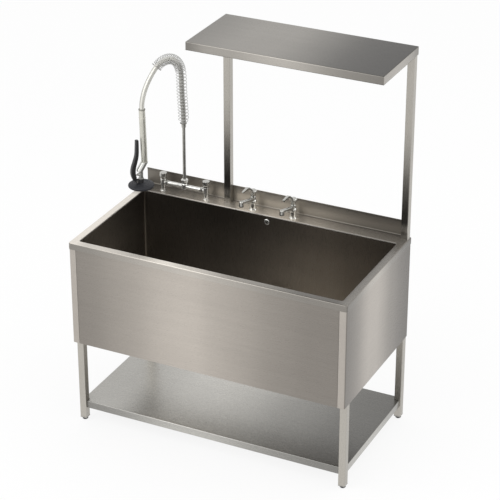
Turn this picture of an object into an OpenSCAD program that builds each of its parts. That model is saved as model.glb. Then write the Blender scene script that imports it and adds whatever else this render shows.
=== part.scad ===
// Free-standing wash trough with tap deck, overhead shelf, undershelf,
// spring-arched spray mixer and two lever pillar taps. Units are millimetres.
// Origin: middle of the plan on the floor. +X right, +Y back, +Z up.

/* [Trough] */
// Overall width of the trough
trough_w = 1300; // [1200:10:1500]
// Overall depth, front edge to back edge
trough_d = 690; // [650:10:780]
// Height of the rim above the floor
rim_h = 900; // [860:10:960]
// Width of the flat rim in front of and beside the bowl
rim_w = 35; // [34:1:45]
// Depth of the tap deck behind the bowl
deck_d = 79; // [77:1:100]
// Height of the folded rim edge
rim_fold = 30; // [20:1:40]
// Radius of the two front rim corners
rim_corner = 10; // [8:1:14]
// Height of the upstand at the back of the deck
upstand_h = 75; // [50:1:85]
// Distance from each side of the trough to the end of the upstand
upstand_inset = 13; // [5:1:20]
// Thickness of the stainless sheet
sheet = 1.5; // [1.2:0.1:1.8]

/* [Bowl] */
// Depth of the bowl from rim to flat floor ledge
bowl_depth = 400; // [300:10:410]
// Radius of the bowl's upright corners
bowl_corner = 10; // [6:1:14]
// Fall of the floor from its ledge to the waste
bowl_fall = 10; // [4:1:15]
// Width of the flat ledge round the sloping floor
floor_ledge = 44; // [42:1:60]
// Distance from the bowl's back wall to the waste
waste_back = 136; // [110:1:200]
// Distance of the overflow below the rim
overflow_drop = 31; // [28:1:60]

/* [Apron] */
// Height of the apron panels, measured from the rim
apron_h = 487; // [470:1:520]
// Width of the strip that each side panel turns round the front
strip_w = 32; // [25:1:40]
// Gap between a side strip and the front panel
strip_gap = 1.2; // [0.8:0.1:2]
// Set-in of the apron behind the rim edge
apron_inset = 2.1; // [2:0.1:3]
// Width of the hem at the bottom of each panel
hem_w = 12; // [8:1:20]

/* [Frame] */
// Outside width of the square tube
tube = 32; // [30:1:35]
// Wall of the square tube
tube_wall = 1.5; // [1.2:0.1:2]
// Distance of the front legs behind the front edge
front_leg_y = 31; // [28:1:45]
// Distance from the back edge to the back faces of the rear tubes
rear_tube_gap = 3.5; // [3.5:0.5:6]
// Height of the tube ends above the floor
tube_end_h = 15; // [14:1:25]

/* [Undershelf] */
// Height of the undershelf's top face
shelf_low_h = 98; // [95:1:200]
// Height of the folded undershelf edge
shelf_low_fold = 34; // [25:1:40]
// Set-in of the undershelf from the trough's sides
shelf_low_side = 11; // [8:1:20]
// Set-in of the undershelf from the trough's front
shelf_low_front = 41; // [38:1:50]
// Set-in of the undershelf from the trough's back
shelf_low_back = 6; // [6:1:15]

/* [Overhead shelf] */
// Height of the overhead shelf's top face
shelf_top_h = 1775; // [1700:5:1900]
// Distance of the overhead shelf's left end from the mixer's right valve
shelf_clear = 80; // [70:1:120]
// Depth of the overhead shelf
shelf_top_d = 375; // [300:5:400]
// Height of the folded shelf edge
shelf_top_fold = 35; // [32:1:45]
// Length of each internal spigot that joins post and frame
spigot_len = 120; // [80:2:160]

/* [Taps] */
// Distance of the tap holes from the back edge
tap_line = 46; // [43:1:50]
// Place of the left pillar tap from the left side
tap_left = 567; // [540:1:600]
// Place of the right pillar tap from the left side
tap_right = 762; // [740:1:800]
// Reach of each tap's spout from its axis
spout_reach = 118; // [90:1:130]
// Length of each tap's lever from its axis
lever_len = 105; // [84:1:112]
// Radius of the threaded tails, half-inch thread
tail_r = 10.48; // [10.2:0.02:10.6]
// Length of the tails below the deck
tail_len = 50; // [40:1:70]

/* [Spray mixer] */
// Place of the riser from the left side
riser_at = 226; // [215:1:240]
// Distance between the two valve pillars
valve_gap = 216; // [200:1:230]
// Height of the bridge's centre line above the deck
bridge_h = 42; // [38:1:46]
// Radius of the riser pipe
riser_r = 7.5; // [7:0.1:8]
// Turn of the spray arm from straight right, seen from above
arm_turn = 235; // [225:1:250]
// Outside radius of the spring
spring_r = 24; // [22:0.1:25]
// Radius of the spring wire
wire_r = 1.6; // [1.3:0.1:2]
// Radius of the hose
hose_r = 11; // [9:0.2:12]
// Length of the grip sleeve
grip_len = 211; // [205:1:215]
// Radius of the rubber rose
rose_r = 58.5; // [48:0.5:62]

/* [Waste] */
// Radius of the waste outlet's thread, one-and-a-half-inch
waste_r = 23.9; // [23:0.1:25]
// Free length of the waste outlet
waste_tail = 34; // [30:1:45]

/* [Hidden] */

// Clearances shared by pieces that fit each other
seat_gap = 0.3;
run_gap = 0.05;
eps = 0.01;

// Places in the plan, measured from the left and from the front
left = -trough_w / 2;
front = -trough_d / 2;
back = trough_d / 2;
bowl_x = trough_w / 2 - rim_w;
bowl_front = front + rim_w;
bowl_back = back - deck_d;
bowl_mid = (bowl_front + bowl_back) / 2;
bowl_w = 2 * bowl_x;
bowl_len = bowl_back - bowl_front;
deck_under = rim_h - sheet;
ledge_z = rim_h - bowl_depth;
bowl_under = ledge_z - sheet;
panel_bottom = rim_h - apron_h;
waste_y = bowl_back - waste_back;

// Frame tubes
leg_x = left + apron_inset + sheet + tube / 2;
front_tube_y = front + front_leg_y + tube / 2;
rear_tube_y = back - rear_tube_gap - tube / 2;
rail_z = bowl_under - tube / 2;
bowl_rail_y = bowl_back - floor_ledge / 2;
tube_round = 3;

// Overhead shelf and its posts
riser_x = left + riser_at;
shelf_right = trough_w / 2;
shelf_left = riser_x + valve_gap / 2 + shelf_clear;
shelf_front = back - shelf_top_d;
shelf_under = shelf_top_h - sheet;
post_left_x = shelf_left + apron_inset + sheet + tube / 2;
post_right_x = -leg_x;
tube_inner = tube - 2 * tube_wall;
spigot_w = tube_inner - 2 * seat_gap;
arm_w = 20;
arm_deep = 30;
arm_thin = 16;

// Feet
foot_r = 13;
stud_r = 5;
foot_pad_h = 9;
stud_top = 52;
insert_depth = 34;

// Taps and mixer
deck_y = back - tap_line;
tap_left_x = left + tap_left;
tap_right_x = left + tap_right;
hole_r = tail_r + 0.8;
nut_h = 8;
spindle_r = 4;
hub_low = 66;
hub_high = 94;
spout_rise = 16;
spout_root = 47;
nozzle_drop = 13;
mouth_z = spout_root + spout_reach * tan(spout_rise);
knob_low = 60;
knob_high = 89;
knob_r = 16.5;
pillar_top = 58.5;
spindle_top = 82;

// Spray arm, in its own upright plane: distance out from the riser, height above the deck
hose_route = [
    [0, 349], [1, 404], [3.5, 449], [5.9, 494], [6.8, 529], [7.4, 559], [8.7, 584], [12.1, 606.5],
    [19.1, 627.3], [31.2, 645.6], [48.7, 658.7], [69.9, 664.2], [91.6, 661.3], [111, 651.2],
    [128.9, 635.3], [145.3, 615.1], [160.7, 591.7], [175.4, 565.6], [188.1, 536.2], [197.7, 502.6],
    [201.6, 478], [202.4, 458]
];
riser_h = hose_route[0][1];
grip_tilt = 1.3;
spring_from = 3;
spring_to = 404;
pitch_low = 15.3;
pitch_high = 7.6;
pitch_change = 251;
ring_step = 8;
lever_pivot = [238, 120];
plunger_z = 150;
nozzle_s = 215;
rose_z = 97;
lever_line = [
    [231.5, 314], [232, 288], [233.5, 254], [237, 233], [243, 213], [250, 192], [253.5, 171], [252.5, 152],
    [246, 132]
];
lever_t = 18;
lever_w = 15;
ferrule_len = 41;
ferrule_r = 15.3;
housing_r = 15;
stem_r = 9.5;

steel = [0.70, 0.68, 0.64];
dark_steel = [0.52, 0.51, 0.48];
chrome = [0.86, 0.86, 0.84];
black = [0.13, 0.13, 0.14];
rubber = [0.22, 0.23, 0.26];
plastic = [0.80, 0.80, 0.78];

// Plan outlines
function arc(c, r, a0, a1, n) = [for (i = [0:n]) c + r * [cos(a0 + (a1 - a0) * i / n), sin(a0 + (a1 - a0) * i / n)]];

function round_rect(w, d, r, n) = concat(
    arc([w / 2 - r, d / 2 - r], r, 0, 90, n),
    arc([r - w / 2, d / 2 - r], r, 90, 180, n),
    arc([r - w / 2, r - d / 2], r, 180, 270, n),
    arc([w / 2 - r, r - d / 2], r, 270, 360, n)
);

// Outline of the trough set in by a distance on its front and sides, square at the back
function plan_outline(inset, back_y) = concat(
    [[trough_w / 2 - inset, back_y], [inset - trough_w / 2, back_y]],
    arc([left + rim_corner, front + rim_corner], rim_corner - inset, 180, 270, 6),
    arc([-left - rim_corner, front + rim_corner], rim_corner - inset, 270, 360, 6)
);

module block(a, b) {
    translate(a) cube(b - a);
}

module cut_square(x, y, w) {
    translate([x - w / 2, y - w / 2]) square(w);
}

// Square tube of a given length, standing on its end at the origin
module square_tube(len) {
    linear_extrude(len) difference() {
        polygon(round_rect(tube, tube, tube_round, 3));
        polygon(round_rect(tube - 2 * tube_wall, tube - 2 * tube_wall, tube_round - tube_wall, 3));
    }
}

module upright(x, y, z0, z1) {
    translate([x, y, z0]) square_tube(z1 - z0);
}

module rail_along_x(x0, x1, y) {
    translate([x0, y, rail_z]) rotate([0, 90, 0]) square_tube(x1 - x0);
}

// Bowl
module bowl_plan(grow) {
    translate([0, bowl_mid]) polygon(round_rect(bowl_w + 2 * grow, bowl_len + 2 * grow, bowl_corner + grow, 5));
}

// Four-sided fall from the ledge to a flat square round the waste, lowered by a distance
module fall(drop) {
    sump = 52;
    hull() {
        translate([0, bowl_mid, ledge_z - drop]) linear_extrude(1)
            square([bowl_w - 2 * floor_ledge, bowl_len - 2 * floor_ledge], center = true);
        translate([0, waste_y, sump_z - drop]) linear_extrude(1) square(2 * sump, center = true);
    }
}

module basin() {
    color(dark_steel) difference() {
        union() {
            translate([0, 0, bowl_under]) linear_extrude(deck_under - bowl_under) difference() {
                bowl_plan(sheet);
                bowl_plan(0);
            }
            translate([0, 0, bowl_under]) linear_extrude(sheet) bowl_plan(eps);
            fall(sheet);
        }
        fall(0);
        translate([0, waste_y, sump_z - 20]) cylinder(r = waste_seat_r, h = 40, $fn = 64);
        translate([0, bowl_back - 5, overflow_z]) rotate([-90, 0, 0]) cylinder(r = hole_r, h = 10, $fn = 48);
    }
}

// Top sheet: rim, deck and the folded edge on three sides
module top_sheet() {
    color(steel) {
        translate([0, 0, deck_under]) linear_extrude(sheet) difference() {
            polygon(plan_outline(0, back));
            bowl_plan(0);
            for (x = [riser_x - valve_gap / 2, riser_x + valve_gap / 2, tap_left_x, tap_right_x])
                translate([x, deck_y]) circle(r = hole_r, $fn = 48);
            for (x = [post_left_x, post_right_x])
                cut_square(x, rear_tube_y, tube_inner);
        }
        translate([0, 0, rim_h - rim_fold]) linear_extrude(rim_fold - sheet) difference() {
            polygon(plan_outline(0, back));
            polygon(plan_outline(sheet, back + 1));
        }
    }
}

// Upstand with a closed hem along its top
module rear_upstand() {
    x = trough_w / 2 - upstand_inset;
    hem_h = 8;
    color(steel) {
        block([-x, back - sheet, rim_h], [x, back, rim_h + upstand_h]);
        block([-x, back - 2 * sheet, rim_h + upstand_h - hem_h], [x, back - sheet, rim_h + upstand_h]);
    }
}

// Apron panels
module front_panel() {
    x = trough_w / 2 - apron_inset - strip_w - strip_gap;
    y = front + apron_inset;
    turn = 15;
    color(steel) {
        block([-x, y, panel_bottom], [x, y + sheet, deck_under]);
        for (side = [-1, 1]) scale([side, 1, 1])
            block([x - sheet, y + sheet, panel_bottom], [x, y + turn, deck_under]);
        block([sheet - x, y + sheet, panel_bottom], [x - sheet, y + hem_w, panel_bottom + sheet]);
    }
}

module side_panel(side) {
    inner = trough_w / 2 - apron_inset - sheet;
    strip_end = trough_w / 2 - apron_inset - strip_w;
    turn = 20;
    leg_gap = 1;
    color(steel) mirror([side < 0 ? 1 : 0, 0, 0]) {
        translate([0, 0, panel_bottom]) linear_extrude(deck_under - panel_bottom) {
            intersection() {
                difference() {
                    polygon(plan_outline(apron_inset, back));
                    polygon(plan_outline(apron_inset + sheet, back + 1));
                }
                translate([strip_end, front]) square([strip_w + apron_inset, trough_d]);
            }
            translate([inner - turn, back - sheet]) square([turn + eps, sheet]);
        }
        difference() {
            block([inner - hem_w, front + rim_corner, panel_bottom], [inner + eps, back - sheet, panel_bottom + sheet]);
            for (y = [front_tube_y, rear_tube_y])
                translate([inner - tube, y - tube / 2 - leg_gap, panel_bottom - 1]) cube([tube, tube + 2 * leg_gap, 5]);
        }
    }
}

module left_side_panel() {
    side_panel(-1);
}

module right_side_panel() {
    side_panel(1);
}

// Legs: the front pair ends under the bowl, the rear pair carries the deck
module front_left_leg() {
    color(steel) upright(leg_x, front_tube_y, tube_end_h, bowl_under);
}

module front_right_leg() {
    color(steel) upright(-leg_x, front_tube_y, tube_end_h, bowl_under);
}

module rear_left_leg() {
    color(steel) upright(leg_x, rear_tube_y, tube_end_h, deck_under);
}

module rear_right_leg() {
    color(steel) upright(-leg_x, rear_tube_y, tube_end_h, deck_under);
}

module front_rail() {
    color(steel) rail_along_x(leg_x + tube / 2, -leg_x - tube / 2, front_tube_y);
}

module bowl_rail() {
    color(steel) rail_along_x(leg_x + tube / 2, -leg_x - tube / 2, bowl_rail_y);
}

module rear_rail() {
    color(steel) rail_along_x(leg_x + tube / 2, -leg_x - tube / 2, rear_tube_y);
}

module side_rails() {
    color(steel) for (x = [leg_x, -leg_x])
        translate([x, front_tube_y + tube / 2, rail_z]) rotate([-90, 0, 0])
            square_tube(rear_tube_y - front_tube_y - tube);
}

// Upright that carries the deck under the left shelf post
module inner_upright() {
    color(steel) upright(post_left_x, rear_tube_y, rail_z + tube / 2, deck_under);
}

// Threaded insert in a leg's end: plug inside the tube and a bevelled collar below it
module leg_insert() {
    collar = tube_end_h - foot_pad_h;
    low = tube / 2 - 3;
    slope = [[-low, foot_pad_h], [low, foot_pad_h], [tube / 2, tube_end_h - 1.5], [tube / 2, tube_end_h],
        [-tube / 2, tube_end_h], [-tube / 2, tube_end_h - 1.5]];
    plug = tube - 2 * tube_wall - 2 * seat_gap;
    difference() {
        union() {
            intersection() {
                translate([0, tube / 2, 0]) rotate([90, 0, 0]) linear_extrude(tube) polygon(slope);
                translate([-tube / 2, 0, 0]) rotate([90, 0, 90]) linear_extrude(tube) polygon(slope);
            }
            translate([0, 0, foot_pad_h + collar / 2]) linear_extrude(insert_depth + collar / 2)
                polygon(round_rect(plug, plug, 1.5, 2));
        }
        cylinder(r = stud_r + run_gap, h = stud_top + 20, $fn = 48);
    }
}

module leg_inserts() {
    color(dark_steel) for (x = [leg_x, -leg_x], y = [front_tube_y, rear_tube_y])
        translate([x, y, 0]) leg_insert();
}

// Levelling foot: bevelled pad on a stud
module foot() {
    bevel = 3;
    rotate_extrude($fn = 48) polygon([
        [0, 0], [foot_r - bevel, 0], [foot_r, bevel], [foot_r, foot_pad_h - 1 - seat_gap],
        [foot_r - 1, foot_pad_h - seat_gap], [stud_r, foot_pad_h - seat_gap],
        [stud_r, stud_top - 1], [stud_r - 1, stud_top], [0, stud_top]
    ]);
}

module foot_front_left() {
    color(black) translate([leg_x, front_tube_y, 0]) foot();
}

module foot_front_right() {
    color(black) translate([-leg_x, front_tube_y, 0]) foot();
}

module foot_rear_left() {
    color(black) translate([leg_x, rear_tube_y, 0]) foot();
}

module foot_rear_right() {
    color(black) translate([-leg_x, rear_tube_y, 0]) foot();
}

// Undershelf: folded tray whose corners are notched round the legs
module undershelf() {
    x = trough_w / 2 - shelf_low_side;
    y0 = front + shelf_low_front;
    y1 = back - shelf_low_back;
    z0 = shelf_low_h - shelf_low_fold;
    notch_x = -leg_x - tube / 2;
    color(steel) difference() {
        block([-x, y0, z0], [x, y1, shelf_low_h]);
        difference() {
            block([sheet - x, y0 + sheet, z0 - 1], [x - sheet, y1 - sheet, shelf_low_h - sheet]);
            for (sx = [-1, 1], y = [front_tube_y, rear_tube_y])
                translate([sx * (-leg_x), y, z0 - 2])
                    linear_extrude(shelf_low_fold + 2) square(tube + 2 * sheet, center = true);
        }
        for (sx = [-1, 1], y = [front_tube_y, rear_tube_y])
            translate([sx * (-leg_x), y, z0 - 3])
                linear_extrude(shelf_low_fold + 6) square([tube, tube], center = true);
        for (sx = [-1, 1]) {
            translate([sx * (notch_x + tube) - tube / 2, y0 - 1, z0 - 3])
                cube([tube, front_tube_y - y0 + tube / 2 + 1, shelf_low_fold + 6]);
            translate([sx * (notch_x + tube) - tube / 2, rear_tube_y - tube / 2, z0 - 3])
                cube([tube, y1 - rear_tube_y + tube / 2 + 1, shelf_low_fold + 6]);
        }
    }
}

// Top-hat stiffener of a given length along X, hanging from a face at z
module top_hat(x0, x1, y, z, deep) {
    wide = 40;
    flange = 14;
    t = 1.2;
    profile = [
        [-wide / 2 - flange, 0], [-wide / 2 - flange, -t], [-wide / 2 - t, -t], [-wide / 2 - t, -deep],
        [wide / 2 + t, -deep], [wide / 2 + t, -t], [wide / 2 + flange, -t], [wide / 2 + flange, 0],
        [wide / 2, 0], [wide / 2, t - deep], [-wide / 2, t - deep], [-wide / 2, 0]
    ];
    translate([x0, y, z]) rotate([90, 0, 90]) linear_extrude(x1 - x0) polygon(profile);
}

module undershelf_stiffeners() {
    x = trough_w / 2 - shelf_low_side - sheet;
    third = trough_d / 6;
    color(dark_steel) for (y = [-third, third])
        top_hat(-x, x, y, shelf_low_h - sheet, shelf_low_fold - 8);
}

// Shelf posts stand on the deck over the frame's uprights
module left_post() {
    color(steel) upright(post_left_x, rear_tube_y, rim_h, shelf_under);
}

module right_post() {
    color(steel) upright(post_right_x, rear_tube_y, rim_h, shelf_under);
}

module post_spigots() {
    color(dark_steel) for (x = [post_left_x, post_right_x])
        translate([x, rear_tube_y, rim_h - spigot_len / 2]) linear_extrude(spigot_len)
            polygon(round_rect(spigot_w, tube_inner, tube_round - tube_wall, 3));
}

// Overhead shelf: tray with folded edges and safe lips on the front and sides
module overhead_shelf() {
    lip = 10;
    z0 = shelf_top_h - shelf_top_fold;
    lip_end = rear_tube_y - tube / 2 - 2;
    color(steel) {
        difference() {
            block([shelf_left, shelf_front, z0], [shelf_right, back, shelf_top_h]);
            block([shelf_left + sheet, shelf_front + sheet, z0 - 1], [shelf_right - sheet, back - sheet, shelf_under]);
        }
        block([shelf_left + sheet - eps, shelf_front + sheet - eps, z0], [shelf_right - sheet + eps, shelf_front + lip, z0 + sheet]);
        block([shelf_left + sheet - eps, shelf_front + lip - eps, z0], [shelf_left + lip, lip_end, z0 + sheet]);
        block([shelf_right - lip, shelf_front + lip - eps, z0], [shelf_right - sheet + eps, lip_end, z0 + sheet]);
    }
}

// Tapered arm from a post to the shelf's front fold
module shelf_arm(x) {
    y1 = rear_tube_y - tube / 2;
    y0 = shelf_front + sheet + 1;
    translate([x - arm_w / 2, 0, 0]) rotate([90, 0, 90]) linear_extrude(arm_w)
        polygon([[y0, shelf_under], [y0, shelf_under - arm_thin], [y1 - 90, shelf_under - arm_deep],
            [y1, shelf_under - arm_deep], [y1, shelf_under]]);
}

module left_shelf_arm() {
    color(dark_steel) shelf_arm(post_left_x);
}

module right_shelf_arm() {
    color(dark_steel) shelf_arm(post_right_x);
}

module shelf_stiffener() {
    color(dark_steel) top_hat(post_left_x + arm_w / 2, post_right_x - arm_w / 2,
        shelf_front + shelf_top_d * 0.42, shelf_under, 16);
}

// Threaded tail shared by mixer and taps; z = 0 is the deck. A relief groove parts
// the backnut's stretch of thread from the free end that takes the supply pipe.
module tail() {
    groove = -sheet - nut_h - 4;
    low = -sheet - tail_len;
    rotate_extrude($fn = 64) polygon([
        [0, 1], [tail_r, 1], [tail_r, groove], [tail_r - 0.9, groove - 0.9], [tail_r - 0.9, groove - 2],
        [tail_r, groove - 2.9], [tail_r, low], [0, low]
    ]);
}

module backnut() {
    translate([0, 0, -sheet - nut_h]) difference() {
        union() {
            cylinder(r = 16.5, h = nut_h, $fn = 6);
            translate([0, 0, nut_h - 2]) cylinder(r = 18, h = 2, $fn = 64);
        }
        translate([0, 0, -1]) cylinder(r = tail_r + run_gap, h = nut_h + 2, $fn = 64);
    }
}

// Mixer: two valve pillars joined by a bridge with the riser boss in its middle
module valve_pillar() {
    rotate_extrude($fn = 64) polygon([
        [0, 0], [14.5, 0], [14.5, 2.5], [13, 4], [10.5, 5], [10.5, bridge_h - 14], [13, bridge_h - 11],
        [13, pillar_top - 1], [12, pillar_top], [spindle_r, pillar_top], [spindle_r, spindle_top], [0, spindle_top]
    ]);
    tail();
}

module mixer_body() {
    bar_r = 10;
    color(chrome) translate([riser_x, deck_y, rim_h]) {
        for (side = [-1, 1]) {
            translate([side * valve_gap / 2, 0, 0]) valve_pillar();
            translate([side * (valve_gap / 2 - 20), 0, bridge_h]) rotate([0, 90, 0])
                cylinder(r = bar_r + 3, h = 12, center = true, $fn = 6);
        }
        translate([-valve_gap / 2, 0, bridge_h]) rotate([0, 90, 0]) cylinder(r = bar_r, h = valve_gap, $fn = 64);
        translate([0, 0, bridge_h - 13]) rotate_extrude($fn = 64)
            polygon([[0, 0], [10, 0], [14, 4], [14, 24], [12, 28], [12, 35], [0, 35]]);
    }
}

// Round valve knob with a narrower skirt and shallow flutes
module mixer_knob() {
    difference() {
        rotate_extrude($fn = 64) polygon(concat(
            [[0, knob_low], [knob_r - 3.5, knob_low], [knob_r - 2.8, knob_low + 1], [knob_r - 2.8, knob_low + 6],
                [knob_r - 0.6, knob_low + 10], [knob_r, knob_low + 12]],
            arc([knob_r - 2.5, knob_high - 2.5], 2.5, 0, 90, 5),
            [[0, knob_high + 0.6]]
        ));
        translate([0, 0, knob_low - 1]) cylinder(r = spindle_r + run_gap, h = spindle_top - knob_low + 1.5, $fn = 48);
        for (a = [0:45:315]) rotate(a) translate([knob_r + 2.8, 0, knob_low + 12]) cylinder(r = 4, h = 20, $fn = 32);
    }
}

module mixer_knob_left() {
    color(chrome) translate([riser_x - valve_gap / 2, deck_y, rim_h]) mixer_knob();
}

module mixer_knob_right() {
    color(chrome) translate([riser_x + valve_gap / 2, deck_y, rim_h]) mixer_knob();
}

module mixer_backnuts() {
    color(chrome) for (side = [-1, 1])
        translate([riser_x + side * valve_gap / 2, deck_y, rim_h]) backnut();
}

module riser_nut() {
    z0 = bridge_h + 22;
    color(chrome) translate([riser_x, deck_y, rim_h + z0]) difference() {
        intersection() {
            cylinder(r = 17.5, h = 15, $fn = 6);
            rotate_extrude($fn = 64) polygon([[0, 0], [15.5, 0], [17.5, 2], [17.5, 10], [11, 15], [0, 15]]);
        }
        translate([0, 0, -1]) cylinder(r = riser_r + run_gap, h = 17, $fn = 64);
    }
}

module riser_pipe() {
    z0 = bridge_h + 22;
    color(chrome) translate([riser_x, deck_y, rim_h + z0]) cylinder(r = riser_r, h = riser_h - 3.5 - z0, $fn = 64);
}

// Frame of the spray arm: +X out along its reach, +Z up, z = 0 at the deck
module arm_frame() {
    translate([riser_x, deck_y, rim_h]) rotate([0, 0, arm_turn]) children();
}

// Frame of the gun: z = 0 at the hose's end, z down along the grip
module gun_frame() {
    end = hose_route[len(hose_route) - 1];
    arm_frame() translate([end[0], 0, end[1]]) rotate([0, grip_tilt, 0]) children();
}

// Swivel that turns on the riser's top and seats the spring
module hose_swivel() {
    seat_t = 3;
    seat_r = coil_start + 0.8;
    hub_r = riser_r + 3;
    color(chrome) arm_frame() {
        difference() {
            rotate_extrude($fn = 64) polygon([
                [0, riser_h - 20], [hub_r - 0.8, riser_h - 20], [hub_r, riser_h - 19.2],
                [hub_r, riser_h - seat_t - 2], [seat_r, riser_h - 1.8], [seat_r, riser_h], [0, riser_h]
            ]);
            translate([0, 0, riser_h - 24]) cylinder(r = riser_r + run_gap, h = 24 - seat_t, $fn = 64);
        }
        spring_stop(0, -1, -spring_from - wire_r - 1, wire_r);
    }
}

// Catmull-Rom spline through a list of points
function spline_at(p, i, t) =
    let (
        n = len(p),
        a = i > 0 ? p[i - 1] : 2 * p[0] - p[1],
        b = p[i],
        c = p[i + 1],
        d = i + 2 < n ? p[i + 2] : 2 * p[n - 1] - p[n - 2]
    )
    0.5 * (2 * b + (c - a) * t + (2 * a - 5 * b + 4 * c - d) * t * t + (3 * b - a - 3 * c + d) * t * t * t);

function spline(p, per) = [
    for (i = [0:len(p) - 2], k = [0:per - 1]) spline_at(p, i, k / per),
    p[len(p) - 1]
];

// Running length along a list of points
function run_length(p, i = 1, acc = [0]) =
    i >= len(p) ? acc : run_length(p, i + 1, concat(acc, [acc[i - 1] + norm(p[i] - p[i - 1])]));

fine_route = spline(hose_route, 8);
fine_len = run_length(fine_route);
hose_len = fine_len[len(fine_len) - 1];

function seg_at(l, lo, hi) =
    hi - lo <= 1 ? lo : let (m = floor((lo + hi) / 2)) fine_len[m] <= l ? seg_at(l, m, hi) : seg_at(l, lo, m);

function route_at(l) =
    let (i = seg_at(l, 0, len(fine_len) - 1), t = (l - fine_len[i]) / (fine_len[i + 1] - fine_len[i]))
    fine_route[i] * (1 - t) + fine_route[i + 1] * t;

function route_dir(l) =
    let (a = route_at(max(l - 3, 0)), b = route_at(min(l + 3, hose_len)), d = b - a)
    d / norm(d);

// Faces of a tube of rings, closed at both ends
function tube_faces(rings, sides) = concat(
    [for (i = [0:rings - 2], k = [0:sides - 1]) let (a = i * sides + k, b = i * sides + (k + 1) % sides)
        [a, b, a + sides]],
    [for (i = [0:rings - 2], k = [0:sides - 1]) let (a = i * sides + k, b = i * sides + (k + 1) % sides)
        [b, b + sides, a + sides]],
    [for (k = [1:sides - 2]) [0, k + 1, k]],
    [for (k = [1:sides - 2]) let (e = (rings - 1) * sides) [e, e + k, e + k + 1]]
);

// Hose: one swept tube along the route
module spray_hose() {
    sides = 12;
    rings = 36;
    points = [
        for (i = [0:rings - 1])
            let (
                l = hose_len * i / (rings - 1),
                c = route_at(l),
                d = i == 0 ? [0, 1] : i == rings - 1 ? [-sin(grip_tilt), -cos(grip_tilt)] : route_dir(l),
                n = [d[1], -d[0]]
            )
            for (k = [0:sides - 1])
                let (a = 360 * k / sides, u = hose_r * cos(a), v = hose_r * sin(a))
                [c[0] + n[0] * u, v, c[1] + n[1] * u]
    ];
    color(plastic) arm_frame() polyhedron(points = points, faces = tube_faces(rings, sides));
}

// Spring: turns of the wire as a function of the length along the route
// Its first turn widens from the swivel to the full coil.
coil_r = spring_r - wire_r;
coil_start = hose_r + wire_r + 0.8;
widen_turns = 0.75;
function coil_at(turns) =
    let (t = min(1, turns / widen_turns))
    coil_start + (coil_r - coil_start) * t * t * (3 - 2 * t);

function turns_at(l) =
    let (low = min(l, pitch_change) - spring_from, high = max(l - pitch_change, 0))
    low / pitch_low + high / pitch_high;

function length_at(turns) =
    let (low = (pitch_change - spring_from) / pitch_low)
    turns <= low ? spring_from + turns * pitch_low : pitch_change + (turns - low) * pitch_high;

spring_turns = floor(turns_at(spring_to) * ring_step) / ring_step;

// Centre of the wire at a number of turns, in the arm's frame
function wire_at(turns) =
    let (l = length_at(turns) + wire_r, c = route_at(l), d = route_dir(l), a = 360 * turns, r = coil_at(turns))
    [c[0] + d[1] * r * cos(a), r * sin(a), c[1] - d[0] * r * cos(a)];

function wire_radial(turns) =
    let (d = route_dir(length_at(turns) + wire_r), a = 360 * turns)
    [d[1] * cos(a), sin(a), -d[0] * cos(a)];

function wire_axial(turns) =
    let (d = route_dir(length_at(turns) + wire_r))
    [d[0], 0, d[1]];

function unit(v) = v / norm(v);

wire_count = spring_turns * ring_step;
wire_line = [for (i = [0:wire_count]) wire_at(i / ring_step)];

// Direction of the wire where it leaves the spring, square to the stop it meets
function end_dir(turns, way) = unit(way * cross(wire_axial(turns), wire_radial(turns)));

module hose_spring() {
    first = wire_line[0] + end_dir(0, -1) * 2 * wire_r;
    last = wire_line[wire_count] + end_dir(spring_turns, 1) * 2 * wire_r;
    centres = concat([first], wire_line, [last]);
    turn_of = concat([0], [for (i = [0:wire_count]) i / ring_step], [spring_turns]);
    points = [
        for (i = [0:len(centres) - 1])
            let (r = wire_radial(turn_of[i]), x = wire_axial(turn_of[i]))
            for (k = [0:5]) centres[i] + wire_r * (cos(60 * k) * r + sin(60 * k) * x)
    ];
    least = min([
        for (i = [0:wire_count], j = [i + 6:1:wire_count]) norm(wire_line[i] - wire_line[j])
    ]) - 2 * wire_r;
    echo(spring_turns = spring_turns, least_gap = least);
    color(chrome) arm_frame() polyhedron(points = points, faces = tube_faces(len(centres), 6));
}

// Small stop block whose flat face meets an end of the spring wire. It reaches along
// the spring's axis from low to high, measured from the wire's centre.
module spring_stop(turns, way, low, high) {
    p = wire_at(turns) + end_dir(turns, way) * 2 * wire_r;
    x = wire_axial(turns);
    r = wire_radial(turns) * way;
    d = end_dir(turns, way);
    size = 2 * wire_r;
    multmatrix([
        [r[0], d[0], x[0], p[0]],
        [r[1], d[1], x[1], p[1]],
        [r[2], d[2], x[2], p[2]],
        [0, 0, 0, 1]
    ]) translate([-wire_r, 0, low]) cube([size, size, high - low]);
}

// Guide ring that keeps the spring's far end centred on the hose
module spring_end_ring() {
    l = length_at(spring_turns) + 3 * wire_r;
    c = route_at(l);
    d = route_dir(l);
    color(dark_steel) arm_frame() {
        translate([c[0], 0, c[1]]) rotate([0, atan2(d[0], d[1]), 0]) difference() {
            cylinder(r = spring_r, h = 4, $fn = 64);
            translate([0, 0, -1]) cylinder(r = hose_r + 0.8, h = 6, $fn = 64);
        }
        spring_stop(spring_turns, 1, -wire_r, 2 * wire_r + 1);
    }
}

// Ferrule that crimps the hose, with two raised rings
module hose_ferrule() {
    r = ferrule_r;
    color(chrome) gun_frame() rotate_extrude($fn = 64) polygon([
        [0, 0], [r - 1, 0], [r, -1], [r, -4], [r - 1.2, -5.2], [r - 1.2, 2.7 - ferrule_len],
        [r, 1.5 - ferrule_len], [r, -ferrule_len], [0, -ferrule_len]
    ]);
}

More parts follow.
